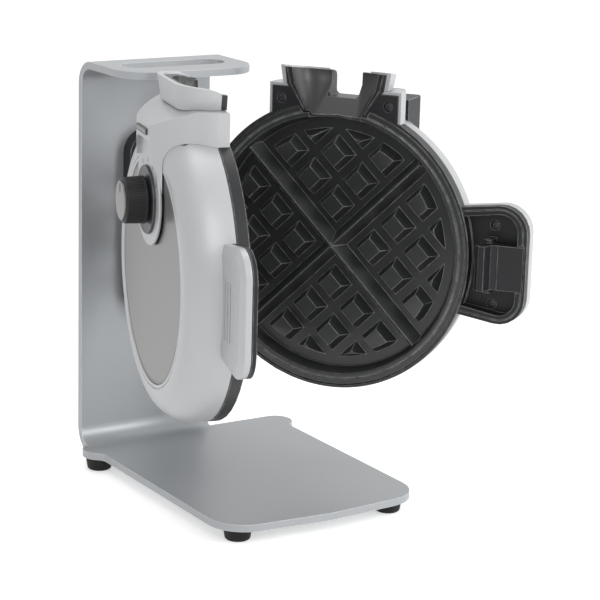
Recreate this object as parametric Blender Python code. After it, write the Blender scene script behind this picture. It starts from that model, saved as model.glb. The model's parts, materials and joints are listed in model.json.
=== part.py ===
"""A belgian waffle maker whose two round halves stand upright and open like a book.

A bent metal stand carries a hinge bracket. Each half is a rim with a waffle grid plate,
a heater and a reflector inside a domed shell, with half a pouring funnel on top and half
a handle at the free side. One half carries the heat control, the other the latch.

Units are metres and +Z is up. The stand opens towards -Y. Inside a half, a place is given
by three distances: along, from the disc's centre towards the handle; up, from the disc's
centre; and out, from the closing plane towards the half's outer face.
"""

from math import acos, cos, degrees, pi, radians, sin, sqrt

import bmesh
import bpy
from mathutils import Vector

# Fits
TOUCH = 0.0003
RUNNING = 0.0004
OVERRUN = 0.002
WELD = 0.000001

# Stand, one bent sheet
STAND_HEIGHT = 0.315
SHEET = 0.0055
PANEL_WIDTH = 0.110
TOP_REACH = 0.078
TOP_BEND = 0.018
TOP_CORNER = 0.026
SLOT_LENGTH = 0.084
SLOT_WIDTH = 0.026
SLOT_FORWARD = 0.0415
FOOT_BEND = 0.0195
BASE_LEFT = 0.052
BASE_RIGHT = 0.1145
BASE_REACH = 0.221
BASE_BOW = 0.006
BASE_CORNER = 0.028
TAB_RADIUS = 0.013
TAB_FILLET = 0.008
TAB_RELIEF = 0.0006

# Feet
FOOT_HEIGHT = 0.0105
FOOT_TOP_RADIUS = 0.0108
FOOT_SOLE_RADIUS = 0.0092
FOOT_EDGE = 0.0012
FOOT_INSET = 0.0192
FOOT_FRONT = 0.0178
FOOT_REAR_OUT = 0.0035
FOOT_REAR = 0.0185

# Hinge
HINGE_FORWARD = 0.020
HINGE_TO_DISC = 0.1425
DISC_DROP = 0.127
DISC_HEIGHT = STAND_HEIGHT - DISC_DROP
CONTROL_OPEN = radians(14.0)
LID_OPEN = radians(34.3)
PIN_RADIUS = 0.003
PIN_HEAD_RADIUS = 0.005
PIN_HEAD = 0.002
KNUCKLE_RADIUS = 0.0065
KNUCKLE_ARM = 0.006
KNUCKLE_GAP = 0.0005
CONTROL_KNUCKLE_FOOT = 0.017
KNUCKLE_HEIGHT = 0.0165
LUG_HEIGHT = 0.012
BRACKET_HEIGHT = 0.145
BRACKET_WIDTH = 0.040
BRACKET_DEPTH = 0.012
BRACKET_CORNER = 0.0185
BRACKET_SCREW_UP = 0.040
BRACKET_SCREW_RADIUS = 0.0022
BRACKET_SCREW_HEAD = 0.0042
BRACKET_SCREW_BITE = 0.008
BRACKET_HEAD_HEIGHT = 0.0026
GLAND_RADIUS = 0.009
GLAND_NECK = 0.006
GLAND_BORE = 0.0037
GLAND_FLANGE = 0.003
GLAND_TAIL = 0.012
GLAND_BITE = 0.005

# Rim moulding and its seat for the grid plate
RIM_RADIUS = 0.108
RIM_WALL = 0.0042
RIM_DEPTH = 0.0093
LEDGE_WIDTH = 0.0065
EAR_HALF = 0.0495
EAR_TOP = 0.1157
EAR_DEPTH = 0.0063
EAR_SCREW_ALONG = 0.042
EAR_SCREW_UP = 0.1070

# Grid plate
PLATE_FACE = 0.0008
PLATE_FLANGE = 0.0027
CAVITY_RADIUS = 0.0965
CAVITY_FLOOR_RADIUS = 0.0935
CAVITY_DEPTH = 0.0115
PLATE_WALL = 0.0022
RIB_HALF = 0.0068
RIB_CREST = 0.0004
RIB_FACE = 0.0014
BLOCK_FIRST = 0.02125
BLOCK_PITCH = 0.02675
BLOCK_TOP = 0.0116
BLOCK_BASE = 0.0205
BLOCK_FACE = 0.0023
BLOCK_ROOT = 0.001
BLOCKS_RADIUS = 0.0905
BLOCKS_DRAFT = 0.0045
GATE_HALF = 0.0205
GATE_DEPTH = 0.0052

# Heater, reflector and thermostat
HEATER_RADIUS = 0.068
HEATER_TUBE = 0.0032
HEATER_GAP_ANGLE = radians(28.0)
HEATER_TAIL = 0.010
REFLECTOR_SHEET = 0.0008
REFLECTOR_DEPTH = 0.0138
REFLECTOR_FLOOR_RADIUS = 0.090
REFLECTOR_WALL_RADIUS = 0.0987
THERMOSTAT_WIDTH = 0.026
THERMOSTAT_HEIGHT = 0.030
THERMOSTAT_DEPTH = 0.0105
SHAFT_RADIUS = 0.003
SHAFT_HOLE = 0.0042

# Shell and steel disc
SHELL_WALL = 0.002
SHELL_FACE = 0.0418
SHELL_LIP_RADIUS = 0.0835
SHELL_SHOULDER_POWER = 2.35
SHELL_SHOULDER_STEPS = 6
DISC_RADIUS = 0.080
DISC_THICK = 0.0011
DISC_SUNK = 0.0008
DISC_SEAT = 0.006

# Funnel liner, sections from the gate up, cut off slanting at the mouth
MOUTH_UP = 0.1315
CONTROL_MOUTH_SLOPE_SHARE = 0.10
LID_MOUTH_SLOPE_SHARE = -0.14
LINER_FOOT_UP = 0.0990
LINER_FOOT_HALF = 0.0262
LINER_FOOT_DEPTH = 0.0090
LINER_SPREAD = 0.0030
LINER_WAIST_UP = 0.1180
LINER_WAIST_HALF = 0.0380
LINER_WAIST_DEPTH = 0.0275
LINER_TOP_RISE = 0.0240
LINER_TOP_HALF = 0.0415
LINER_TOP_DEPTH = 0.0295
THROAT_UP = 0.0965
THROAT_HALF = 0.0202
THROAT_DEPTH = 0.0050
WELL_HALF = 0.0320
WELL_DEPTH = 0.0240
LINER_WALL = 0.0050
FUNNEL_ROUND = 0.0235
FUNNEL_ROUND_STEPS = 5
COLLAR_WALL = 0.0032
COLLAR_FLARE = 0.0006
NOTCH_HALF = 0.012
COLLAR_NOTCH_HALF = 0.0165
NOTCH_FLOOR = 0.1085
NOTCH_BACK_FLOOR = 0.1030

# Hood, the neck moulding round the funnel
HOOD_HALF = 0.0518
HOOD_FRONT = 0.0010
HOOD_SIDE_OUT = 0.0100
HOOD_MID_HALF = 0.0475
HOOD_MID_OUT = 0.0180
HOOD_BEND_HALF = 0.0400
HOOD_BEND_OUT = 0.0310
HOOD_FACE_HALF = 0.0205
HOOD_FACE = 0.0485
HOOD_TOP = 0.1180
HOOD_ROOF_OUT = 0.0220
HOOD_ROOF_MID = 0.1135
HOOD_ROOF_MID_OUT = 0.0345
HOOD_BROW = 0.1060
HOOD_LEDGE = 0.0940
HOOD_FOOT = 0.0600
HOOD_WALL = 0.0025
HOOD_CEILING = 0.1030
LID_NECK_OUT = 0.0200

# Fascia tongue, dial and knob
KNOB_UP = 0.0505
FASCIA_RADIUS = 0.0320
FASCIA_WAIST_HALF = 0.0235
FASCIA_WAIST_UP = 0.0870
FASCIA_FACE = 0.0445
DISH_RADIUS = 0.0240
DISH_THICK = 0.0018
DISH_HOLLOW = 0.0009
DISH_LAND = 0.0185
KNOB_RADIUS = 0.0168
KNOB_FRONT_RADIUS = 0.0158
KNOB_LENGTH = 0.0160
KNOB_EDGE = 0.0008
KNOB_SOCKET = 0.009
KNOB_CAP_RADIUS = 0.0137
KNOB_CAP_THICK = 0.0012
KNOB_CAP_SUNK = 0.0004
BADGE_LENGTH = 0.027
BADGE_HEIGHT = 0.0046
BADGE_THICK = 0.0008
BADGE_UP = 0.1000

# Handles
HANDLE_REACH = 0.1510
HANDLE_HALF = 0.0465
HANDLE_ROOT_HALF = 0.0382
HANDLE_RISE = 0.0002
HANDLE_CORNER = 0.0200
HANDLE_ROOT = 0.090
HANDLE_TIP_OUT = 0.0182
HANDLE_BACK_OUT = 0.0205
HANDLE_KNEE = 0.118
HANDLE_WALL = 0.0025
COVER_FACE = 0.0093
COVER_THICK = 0.0032
GRIP_LENGTH = 0.040
GRIP_RISE = -0.0020
GRIP_WIDTH = 0.0022
GRIP_DEPTH = 0.0008
GRIP_FIRST = 0.1110
GRIP_PITCH = 0.0062
HANDLE_SCREW_ALONG = 0.1233
HANDLE_SCREW_UP = 0.0292
HANDLE_SCREW_RISE = -0.0020
TRAY_FACE = 0.0024
TRAY_BRIM = 0.0064
TRAY_LIP = 0.0072
TRAY_DEEP = 0.0100
TRAY_FLOOR = 0.0022
GROOVE_IN = 0.0028
GROOVE_WIDTH = 0.0008
GROOVE_DEPTH = 0.0010

# Small screws
SCREW_HEAD_RADIUS = 0.0032
SCREW_HEAD = 0.0018
SCREW_RADIUS = 0.0015
SCREW_LENGTH = 0.0075
SCREW_ROOM = 0.0004
SCREW_SLOT = 0.0007
SCREW_SUNK = 0.0004

# Latch
LATCH_RISE = -0.0015
LATCH_HALF = 0.0165
LATCH_PIN_ALONG = 0.1215
LATCH_PIN_OUT = 0.0050
LATCH_PIN_RADIUS = 0.0012
LATCH_EYE = 0.0036
LATCH_EAR_WALL = 0.0026
LATCH_ARM_ALONG = 0.1170
LATCH_BARB_OUT = -0.0046
LATCH_BARB_REACH = 0.0021
LATCH_BARB_SLOPE = 0.0004
LATCH_NOSE_OUT = -0.0080
LATCH_NOSE_FIRST = 0.1180
LATCH_NOSE_LAST = 0.1212
LATCH_VALLEY_ALONG = 0.1235
LATCH_VALLEY_OUT = -0.0005
LATCH_STEP_ALONG = 0.1300
LATCH_STEP_OUT = 0.0012
LATCH_PLATE_OUT = 0.0002
LATCH_END_ALONG = 0.1485
LATCH_END_OUT = 0.0026
LATCH_PLATE_THICK = 0.0034
LATCH_BAY_HALF = 0.0080
LATCH_BAY_FRONT = 0.0030
LATCH_ROOM = 0.0006
CATCH_WALL_FIRST = 0.1106
CATCH_WALL_LAST = 0.1128
CATCH_EDGE = 0.0008
CATCH_LIP_OUT = 0.0018
CATCH_HALF = 0.0158
SPRING_RADIUS = 0.0024
SPRING_WIRE = 0.0004
SPRING_TURNS = 7
SPRING_TURN_POINTS = 10
SPRING_PITCH = 0.0018

# Facets
RING_STEPS = 48
SMALL_STEPS = 24
SCREW_STEPS = 12
BEND_STEPS = 7
CORNER_STEPS = 6
SMOOTH_ANGLE = radians(35.0)

CONTROL = -1
LID = 1

COLOURS = {
    "silver_paint": ((0.62, 0.63, 0.64), 0.34, 0.55),
    "stand_metal": ((0.58, 0.59, 0.60), 0.36, 0.70),
    "brushed_steel": ((0.56, 0.56, 0.55), 0.30, 1.0),
    "black_plastic": ((0.035, 0.036, 0.038), 0.42, 0.0),
    "nonstick": ((0.030, 0.031, 0.033), 0.38, 0.1),
    "rubber": ((0.020, 0.020, 0.021), 0.75, 0.0),
    "steel": ((0.60, 0.60, 0.60), 0.32, 1.0),
    "dark_metal": ((0.16, 0.16, 0.17), 0.35, 0.8),
}


def clear_scene():
    for obj in list(bpy.data.objects):
        bpy.data.objects.remove(obj, do_unlink=True)


def material(name):
    found = bpy.data.materials.get(name)
    if found:
        return found
    colour, roughness, metallic = COLOURS[name]
    made = bpy.data.materials.new(name)
    made.use_nodes = True
    shader = made.node_tree.nodes["Principled BSDF"]
    shader.inputs["Base Color"].default_value = (*colour, 1)
    shader.inputs["Roughness"].default_value = roughness
    shader.inputs["Metallic"].default_value = metallic
    return made


def frame_empty(name, parent=None, location=(0, 0, 0), turn=0):
    empty = bpy.data.objects.new(name, None)
    empty.location = location
    empty.rotation_euler[2] = turn
    empty.parent = parent
    bpy.context.scene.collection.objects.link(empty)
    return empty


def piece(name, bm, finish, parent):
    """Turns a closed bmesh into a named object with outward faces."""
    bmesh.ops.remove_doubles(bm, verts=bm.verts, dist=WELD)
    loose = [edge for edge in bm.edges if not edge.link_faces]
    bmesh.ops.delete(bm, geom=loose, context="EDGES")
    bmesh.ops.recalc_face_normals(bm, faces=bm.faces)
    mesh = bpy.data.meshes.new(name)
    bm.to_mesh(mesh)
    bm.free()
    mesh.shade_smooth()
    mesh.set_sharp_from_angle(angle=SMOOTH_ANGLE)
    if finish:
        mesh.materials.append(material(finish))
    obj = bpy.data.objects.new(name, mesh)
    obj.parent = parent
    bpy.context.scene.collection.objects.link(obj)
    return obj


def cutter(name, bm, parent):
    obj = piece(name, bm, None, parent)
    obj.hide_render = True
    obj.display_type = "WIRE"
    return obj


def combine(target, other, operation):
    boolean = target.modifiers.new(f"{operation.lower()}_{other.name}", "BOOLEAN")
    boolean.operation = operation
    boolean.object = other
    boolean.solver = "EXACT"
    return target


def cut(target, *cutters):
    for other in cutters:
        combine(target, other, "DIFFERENCE")
    return target


def join(target, *others):
    for other in others:
        combine(target, other, "UNION")
    return target


def loft(rings, closed=False):
    """Skins rings of equal length, and caps the two ends unless the rings close on themselves."""
    bm = bmesh.new()
    loops = [[bm.verts.new(point) for point in ring] for ring in rings]
    count = len(loops[0])
    pairs = list(zip(loops, loops[1:]))
    if closed:
        pairs.append((loops[-1], loops[0]))
    for first, second in pairs:
        for i in range(count):
            bm.faces.new((first[i - 1], first[i], second[i], second[i - 1]))
    if not closed:
        bm.faces.new(loops[0])
        bm.faces.new(loops[-1])
    return bm


def spin_outline(outline, centre, axis, steps):
    """Turns a closed outline of points once round an axis."""
    bm = bmesh.new()
    verts = [bm.verts.new(point) for point in outline]
    edges = [bm.edges.new((verts[i - 1], verts[i])) for i in range(len(verts))]
    bmesh.ops.spin(
        bm, geom=verts + edges, cent=centre, axis=axis, angle=2 * pi, steps=steps, use_merge=True
    )
    return bm


def rounded(corners):
    """An outline of (x, y) from corners (x, y, radius), each corner replaced by its arc."""
    points = []
    for i, (x, y, radius) in enumerate(corners):
        here = Vector((x, y))
        if radius == 0:
            points.append((x, y))
            continue
        back = (Vector(corners[i - 1][:2]) - here).normalized()
        ahead = (Vector(corners[(i + 1) % len(corners)][:2]) - here).normalized()
        half = back.angle(ahead) / 2
        middle = here + (back + ahead).normalized() * radius / sin(half)
        reach = radius * cos(half) / sin(half)
        start = here + back * reach - middle
        finish = here + ahead * reach - middle
        sweep = start.angle_signed(finish)
        for step in range(CORNER_STEPS + 1):
            turn = -sweep * step / CORNER_STEPS
            points.append(
                (
                    middle.x + start.x * cos(turn) - start.y * sin(turn),
                    middle.y + start.x * sin(turn) + start.y * cos(turn),
                )
            )
    return points


def arc(centre, radius, first, last, steps):
    """Points (x, y) on an arc between two angles in degrees, ends included."""
    angles = [radians(first + (last - first) * step / steps) for step in range(steps + 1)]
    return [(centre[0] + radius * cos(a), centre[1] + radius * sin(a)) for a in angles]


def at(side, along, up, out):
    """A place in a half, in the frame of its hinge axis."""
    return Vector((side * out, -(HINGE_TO_DISC + along), DISC_HEIGHT + up))


def slab(side, outline, inner, outer):
    """An outline of (along, up) points, thick from one distance out to another."""
    return loft([[at(side, a, u, out) for a, u in outline] for out in (inner, outer)])


def turned(side, profile, along=0.0, up=0.0, steps=RING_STEPS):
    """A closed profile of (radius, out) points turned about a line square to the closing plane."""
    outline = [at(side, along, up + radius, out) for radius, out in profile]
    return spin_outline(outline, at(side, along, up, 0), (1, 0, 0), steps)


def block_between(side, along, up, out):
    """A box given by its low and high limits along, up and out."""
    outline = [(along[0], up[0]), (along[1], up[0]), (along[1], up[1]), (along[0], up[1])]
    return slab(side, outline, *out)


def stadium(length, width):
    half = length / 2 - width / 2
    return arc((half, 0), width / 2, -90, 90, CORNER_STEPS) + arc(
        (-half, 0), width / 2, 90, 270, CORNER_STEPS
    )


# Stand


def base_bottom():
    return FOOT_HEIGHT


def base_outline():
    """The base sheet seen from above, with a round tab at each rear foot and a bowed front."""
    left, right = -BASE_LEFT, BASE_RIGHT
    inner = PANEL_WIDTH / 2 + TAB_RELIEF
    rear = SHEET - FOOT_BEND
    places = foot_places()
    left_x, tab_y = places["foot_rear_left"]
    right_x = places["foot_rear_right"][0]
    fillet_y = tab_y - TAB_RADIUS * sqrt(2) + FOOT_REAR_OUT
    start = degrees(acos((-inner - left_x) / TAB_RADIUS))
    left_tab = arc((left_x, tab_y), TAB_RADIUS, start, 225, 2 * CORNER_STEPS)
    right_tab = arc((right_x, tab_y), TAB_RADIUS, -45, 90, 2 * CORNER_STEPS)
    outline = [(x, y, 0) for x, y in left_tab]
    outline += [
        (left, fillet_y, TAB_FILLET),
        (left, -BASE_REACH, BASE_CORNER),
        ((left + right) / 2, -BASE_REACH - BASE_BOW, 0),
        (right, -BASE_REACH, BASE_CORNER),
        (right, fillet_y, TAB_FILLET),
    ]
    outline += [(x, y, 0) for x, y in right_tab]
    outline += [(inner, tab_y + TAB_RADIUS, 0), (inner, rear, 0), (-inner, rear, 0)]
    return rounded(outline)


def stand_profile():
    """The bent strip seen from the side, as (y, z), from the top plate to the base."""
    top, low = STAND_HEIGHT, base_bottom()
    stub = OVERRUN
    high_centre = (SHEET - TOP_BEND, top - TOP_BEND)
    low_centre = (SHEET - FOOT_BEND, low + FOOT_BEND)
    outer = [(high_centre[0] - stub, top)]
    outer += arc(high_centre, TOP_BEND, 90, 0, BEND_STEPS)
    outer += arc(low_centre, FOOT_BEND, 0, -90, BEND_STEPS)
    outer += [(low_centre[0] - stub, low)]
    inner = [(low_centre[0] - stub, low + SHEET)]
    inner += arc(low_centre, FOOT_BEND - SHEET, -90, 0, BEND_STEPS)
    inner += arc(high_centre, TOP_BEND - SHEET, 0, 90, BEND_STEPS)
    inner += [(high_centre[0] - stub, top - SHEET)]
    return outer + inner


def upright(outline, low, high):
    """A plan outline of (x, y) extruded between two heights."""
    return loft([[Vector((x, y, z)) for x, y in outline] for z in (low, high)])


def make_stand(stand):
    half = PANEL_WIDTH / 2
    strip = loft([[Vector((x, y, z)) for y, z in stand_profile()] for x in (-half, half)])
    frame = piece("stand_frame", strip, "stand_metal", stand)
    base = upright(base_outline(), base_bottom(), base_bottom() + SHEET)
    rear = SHEET - TOP_BEND
    top_plan = rounded(
        [
            (-half, rear, 0),
            (-half, -TOP_REACH, TOP_CORNER),
            (half, -TOP_REACH, TOP_CORNER),
            (half, rear, 0),
        ]
    )
    top = upright(top_plan, STAND_HEIGHT - SHEET, STAND_HEIGHT)
    slot_plan = [(x, y - SLOT_FORWARD) for x, y in stadium(SLOT_LENGTH, SLOT_WIDTH)]
    slot = upright(slot_plan, STAND_HEIGHT - SHEET - OVERRUN, STAND_HEIGHT + OVERRUN)
    join(frame, cutter("base_sheet", base, stand), cutter("top_sheet", top, stand))
    cut(frame, cutter("carry_slot", slot, stand))
    for up in (BRACKET_SCREW_UP, -BRACKET_SCREW_UP):
        room = BRACKET_SCREW_RADIUS + RUNNING
        hole = along_y(disc_profile(room, -OVERRUN, SHEET + OVERRUN), DISC_HEIGHT + up, SCREW_STEPS)
        cut(frame, cutter(f"panel_hole_{'upper' if up > 0 else 'lower'}", hole, stand))
    room = GLAND_NECK + RUNNING
    hole = along_y(disc_profile(room, -OVERRUN, SHEET + OVERRUN), DISC_HEIGHT, SMALL_STEPS)
    cut(frame, cutter("gland_hole", hole, stand))


def disc_profile(radius, low, high):
    return [(0, low), (radius, low), (radius, high), (0, high)]


def along_y(profile, height, steps):
    """A profile of (radius, y) turned about the line x = 0 at this height."""
    outline = [Vector((radius, y, height)) for radius, y in profile]
    return spin_outline(outline, (0, 0, height), (0, 1, 0), steps)


def foot_places():
    left, right = -BASE_LEFT, BASE_RIGHT
    return {
        "foot_rear_left": (left + FOOT_REAR_OUT, -FOOT_REAR),
        "foot_rear_right": (right - FOOT_REAR_OUT, -FOOT_REAR),
        "foot_front_left": (left + FOOT_INSET, -BASE_REACH + FOOT_FRONT),
        "foot_front_right": (right - FOOT_INSET, -BASE_REACH + FOOT_FRONT),
    }


def make_feet(stand):
    top = base_bottom() - TOUCH
    profile = [
        (0, 0),
        (FOOT_SOLE_RADIUS - FOOT_EDGE, 0),
        (FOOT_SOLE_RADIUS, FOOT_EDGE),
        (FOOT_TOP_RADIUS, top),
        (0, top),
    ]
    for name, (x, y) in foot_places().items():
        outline = [Vector((radius, 0, z)) for radius, z in profile]
        foot = piece(name, spin_outline(outline, (0, 0, 0), (0, 0, 1), SMALL_STEPS), "rubber", stand)
        foot.location = (x, y, 0)


# Hinge


def about_pin(radius, low, high, steps=SMALL_STEPS):
    """A cylinder about the hinge line, between two heights from the disc's centre."""
    outline = [
        Vector((0, 0, DISC_HEIGHT + low)),
        Vector((radius, 0, DISC_HEIGHT + low)),
        Vector((radius, 0, DISC_HEIGHT + high)),
        Vector((0, 0, DISC_HEIGHT + high)),
    ]
    return spin_outline(outline, (0, 0, 0), (0, 0, 1), steps)


def control_knuckle():
    return CONTROL_KNUCKLE_FOOT, CONTROL_KNUCKLE_FOOT + KNUCKLE_HEIGHT


def lid_knuckle():
    low = control_knuckle()[1] + KNUCKLE_GAP
    return low, low + KNUCKLE_HEIGHT


def lug_span():
    low = lid_knuckle()[1] + KNUCKLE_GAP
    return low, low + LUG_HEIGHT


def pin_room():
    return PIN_RADIUS + RUNNING


def make_hinge(stand):
    half_width, half_height = BRACKET_WIDTH / 2, BRACKET_HEIGHT / 2
    face = rounded(
        [
            (-half_width, DISC_HEIGHT - half_height, BRACKET_CORNER),
            (half_width, DISC_HEIGHT - half_height, BRACKET_CORNER),
            (half_width, DISC_HEIGHT + half_height, BRACKET_CORNER),
            (-half_width, DISC_HEIGHT + half_height, BRACKET_CORNER),
        ]
    )
    plate = loft([[Vector((x, y, z)) for x, z in face] for y in (-TOUCH, -BRACKET_DEPTH)])
    bracket = piece("hinge_bracket", plate, "black_plastic", stand)
    low, high = lug_span()
    line = frame_empty("hinge_line", stand, (0, -HINGE_FORWARD, 0))
    for name, (foot, top) in {"upper": (low, high), "lower": (-high, -low)}.items():
        eye = arc((0, -HINGE_FORWARD), KNUCKLE_RADIUS, 180, 360, CORNER_STEPS)
        root = -BRACKET_DEPTH + OVERRUN
        plan = [(-KNUCKLE_RADIUS, root), *eye, (KNUCKLE_RADIUS, root)]
        lug = upright(plan, DISC_HEIGHT + foot, DISC_HEIGHT + top)
        join(bracket, cutter(f"lug_{name}", lug, stand))
    reach = high + OVERRUN
    cut(bracket, cutter("lug_bore", about_pin(pin_room(), -reach, reach), line))
    for up in (BRACKET_SCREW_UP, -BRACKET_SCREW_UP):
        where = "upper" if up > 0 else "lower"
        room = BRACKET_SCREW_RADIUS + RUNNING
        profile = disc_profile(room, -BRACKET_SCREW_BITE - RUNNING, OVERRUN)
        cut(bracket, cutter(f"bite_{where}", along_y(profile, DISC_HEIGHT + up, SCREW_STEPS), stand))
        head = SHEET + TOUCH
        shape = [
            (0, -BRACKET_SCREW_BITE),
            (BRACKET_SCREW_RADIUS, -BRACKET_SCREW_BITE),
            (BRACKET_SCREW_RADIUS, head),
            (BRACKET_SCREW_HEAD, head),
            (BRACKET_SCREW_HEAD, head + BRACKET_HEAD_HEIGHT),
            (0, head + BRACKET_HEAD_HEIGHT),
        ]
        screw = along_y(shape, DISC_HEIGHT + up, SCREW_STEPS)
        piece(f"bracket_screw_{where}", screw, "steel", stand)
    seat = disc_profile(GLAND_NECK + RUNNING, -GLAND_BITE - RUNNING, OVERRUN)
    cut(bracket, cutter("gland_seat", along_y(seat, DISC_HEIGHT, SMALL_STEPS), stand))
    flange = SHEET + TOUCH
    gland = [
        (GLAND_BORE, -GLAND_BITE),
        (GLAND_NECK, -GLAND_BITE),
        (GLAND_NECK, flange),
        (GLAND_RADIUS, flange),
        (GLAND_RADIUS, flange + GLAND_FLANGE),
        (GLAND_NECK, flange + GLAND_TAIL),
        (GLAND_BORE, flange + GLAND_TAIL),
    ]
    piece("cord_gland", along_y(gland, DISC_HEIGHT, SMALL_STEPS), "black_plastic", stand)
    head = high + TOUCH
    pin = [
        (0, -high),
        (PIN_RADIUS, -high),
        (PIN_RADIUS, head),
        (PIN_HEAD_RADIUS, head),
        (PIN_HEAD_RADIUS, head + PIN_HEAD),
        (0, head + PIN_HEAD),
    ]
    outline = [Vector((radius, 0, DISC_HEIGHT + z)) for radius, z in pin]
    piece("hinge_pin", spin_outline(outline, (0, 0, 0), (0, 0, 1), SMALL_STEPS), "steel", line)


# Funnel


def funnel_section(half, depth, front):
    """Half a rounded box seen from above, as (along, out), open side at the closing plane."""
    radius = min(FUNNEL_ROUND, depth * 0.9, half * 0.9)
    near = arc((-half + radius, depth - radius), radius, 180, 90, FUNNEL_ROUND_STEPS)
    far = arc((half - radius, depth - radius), radius, 90, 0, FUNNEL_ROUND_STEPS)
    return [(-half, front), *near, *far, (half, front)]


def funnel_loft(side, sections, front, grow=0.0):
    """Skins funnel sections (up, half, depth) from low to high, grown outwards alike."""
    rings = []
    for up, half, depth in sections:
        plan = funnel_section(half + grow, depth + grow, front)
        rings.append([at(side, a, up, out) for a, out in plan])
    return loft(rings)


def liner_top():
    return LINER_WAIST_UP + LINER_TOP_RISE


def liner_sections():
    return [
        (LINER_FOOT_UP, LINER_FOOT_HALF, LINER_FOOT_DEPTH),
        (LINER_WAIST_UP, LINER_WAIST_HALF, LINER_WAIST_DEPTH),
        (liner_top(), LINER_TOP_HALF, LINER_TOP_DEPTH),
    ]


def well_sections():
    top_half, top_depth = LINER_TOP_HALF - LINER_WALL, LINER_TOP_DEPTH - LINER_WALL
    return [
        (THROAT_UP, THROAT_HALF, THROAT_DEPTH),
        (LINER_WAIST_UP, WELL_HALF, WELL_DEPTH),
        (liner_top() + OVERRUN, top_half, top_depth),
    ]


def above_mouth(side):
    """Everything above the slanting mouth of the funnel."""
    slope = CONTROL_MOUTH_SLOPE_SHARE if side == CONTROL else LID_MOUTH_SLOPE_SHARE
    reach = HOOD_HALF + OVERRUN
    outs = (-OVERRUN, HOOD_FACE)
    line = [(out, MOUTH_UP + slope * out) for out in outs]
    line += [(out, liner_top() + 2 * OVERRUN) for out in reversed(outs)]
    return loft([[at(side, a, up, out) for out, up in line] for a in (-reach, reach)])


def notch(side, half, floor):
    inner, outer = WELL_DEPTH / 2, HOOD_FACE + OVERRUN
    top = liner_top() + OVERRUN
    return block_between(side, (-half, half), (floor, top), (inner, outer))


# Rim moulding


def plate_radius():
    return RIM_RADIUS - RIM_WALL - TOUCH


def ledge_face():
    return PLATE_FACE + PLATE_FLANGE + TOUCH


def ear_outline():
    middle = RIM_RADIUS - RIM_WALL / 2
    steps = 2 * CORNER_STEPS
    alongs = [-EAR_HALF + 2 * EAR_HALF * step / steps for step in range(steps + 1)]
    foot = [(a, sqrt(middle**2 - a**2)) for a in alongs]
    return foot + [(EAR_HALF, EAR_TOP), (-EAR_HALF, EAR_TOP)]


def make_rim(half, side, prefix, knuckle):
    """Black moulding: ring, ledge for the plate, two ears, funnel liner and hinge knuckles."""
    inner, seat = RIM_RADIUS - RIM_WALL, RIM_RADIUS - RIM_WALL - LEDGE_WIDTH
    middle = RIM_RADIUS - RIM_WALL / 2
    profile = [
        (inner, TOUCH),
        (RIM_RADIUS, TOUCH),
        (RIM_RADIUS, RIM_DEPTH),
        (seat, RIM_DEPTH),
        (seat, ledge_face()),
        (inner, ledge_face()),
    ]
    rim = piece(f"{prefix}_rim", turned(side, profile), "black_plastic", half)
    join(rim, cutter(f"{prefix}_ears", slab(side, ear_outline(), TOUCH, EAR_DEPTH), half))
    inside = turned(side, disc_profile(middle, -OVERRUN, RIM_DEPTH))
    inside = cutter(f"{prefix}_ring_inside", inside, half)
    low, high = knuckle
    for where, (foot, top) in {"upper": (low, high), "lower": (-high, -low)}.items():
        reach = -sqrt(middle**2 - high**2) + RIM_WALL / 2
        arm = block_between(side, (-HINGE_TO_DISC, reach), (foot, top), (TOUCH, KNUCKLE_ARM))
        arm = cut(cutter(f"{prefix}_arm_{where}", arm, half), inside)
        eye = cutter(f"{prefix}_eye_{where}", about_pin(KNUCKLE_RADIUS, foot, top), half)
        join(rim, arm, eye)
    liner = funnel_loft(side, liner_sections(), TOUCH)
    join(rim, cutter(f"{prefix}_liner", liner, half))
    bore = about_pin(pin_room(), -high - OVERRUN, high + OVERRUN)
    well = funnel_loft(side, well_sections(), -OVERRUN)
    cut(rim, cutter(f"{prefix}_bore", bore, half), cutter(f"{prefix}_well", well, half))
    cut(rim, cutter(f"{prefix}_mouth", above_mouth(side), half))
    if side == LID:
        channel = notch(side, NOTCH_HALF, NOTCH_FLOOR)
        cut(rim, cutter(f"{prefix}_notch", channel, half))
    return rim


# Grid plate


def rib(side, turn):
    """One ridge of the cross, running through the disc's centre at this angle."""
    reach = CAVITY_FLOOR_RADIUS
    floor = CAVITY_DEPTH + BLOCK_ROOT
    across = [(-RIB_HALF, floor), (-RIB_CREST, RIB_FACE), (RIB_CREST, RIB_FACE), (RIB_HALF, floor)]
    rings = []
    for run in (-reach, reach):
        ring = []
        for width, out in across:
            along = run * cos(turn) - width * sin(turn)
            up = run * sin(turn) + width * cos(turn)
            ring.append(at(side, along, up, out))
        rings.append(ring)
    return loft(rings)


def block_cells():
    """The cells of one quadrant, counted from the cross, without the corner cell."""
    return [(i, j) for i in range(3) for j in range(3) if i + j < 4]


def grid_blocks(side):
    """Tapered blocks on a square pattern, four quadrants between the ribs of the cross."""
    bm = bmesh.new()
    floor = CAVITY_DEPTH + BLOCK_ROOT
    for quadrant in range(4):
        turn = pi / 4 + quadrant * pi / 2
        for i, j in block_cells():
            run, across = (BLOCK_FIRST + BLOCK_PITCH * k for k in (i, j))
            rings = []
            for size, out in ((BLOCK_BASE, floor), (BLOCK_TOP, BLOCK_FACE)):
                ring = []
                for x, y in ((-1, -1), (1, -1), (1, 1), (-1, 1)):
                    u, v = run + x * size / 2, across + y * size / 2
                    along = u * cos(turn) - v * sin(turn)
                    up = u * sin(turn) + v * cos(turn)
                    ring.append(bm.verts.new(at(side, along, up, out)))
                rings.append(ring)
            low, high = rings
            bm.faces.new(low)
            bm.faces.new(high)
            for k in range(4):
                bm.faces.new((low[k - 1], low[k], high[k], high[k - 1]))
    return bm


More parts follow.
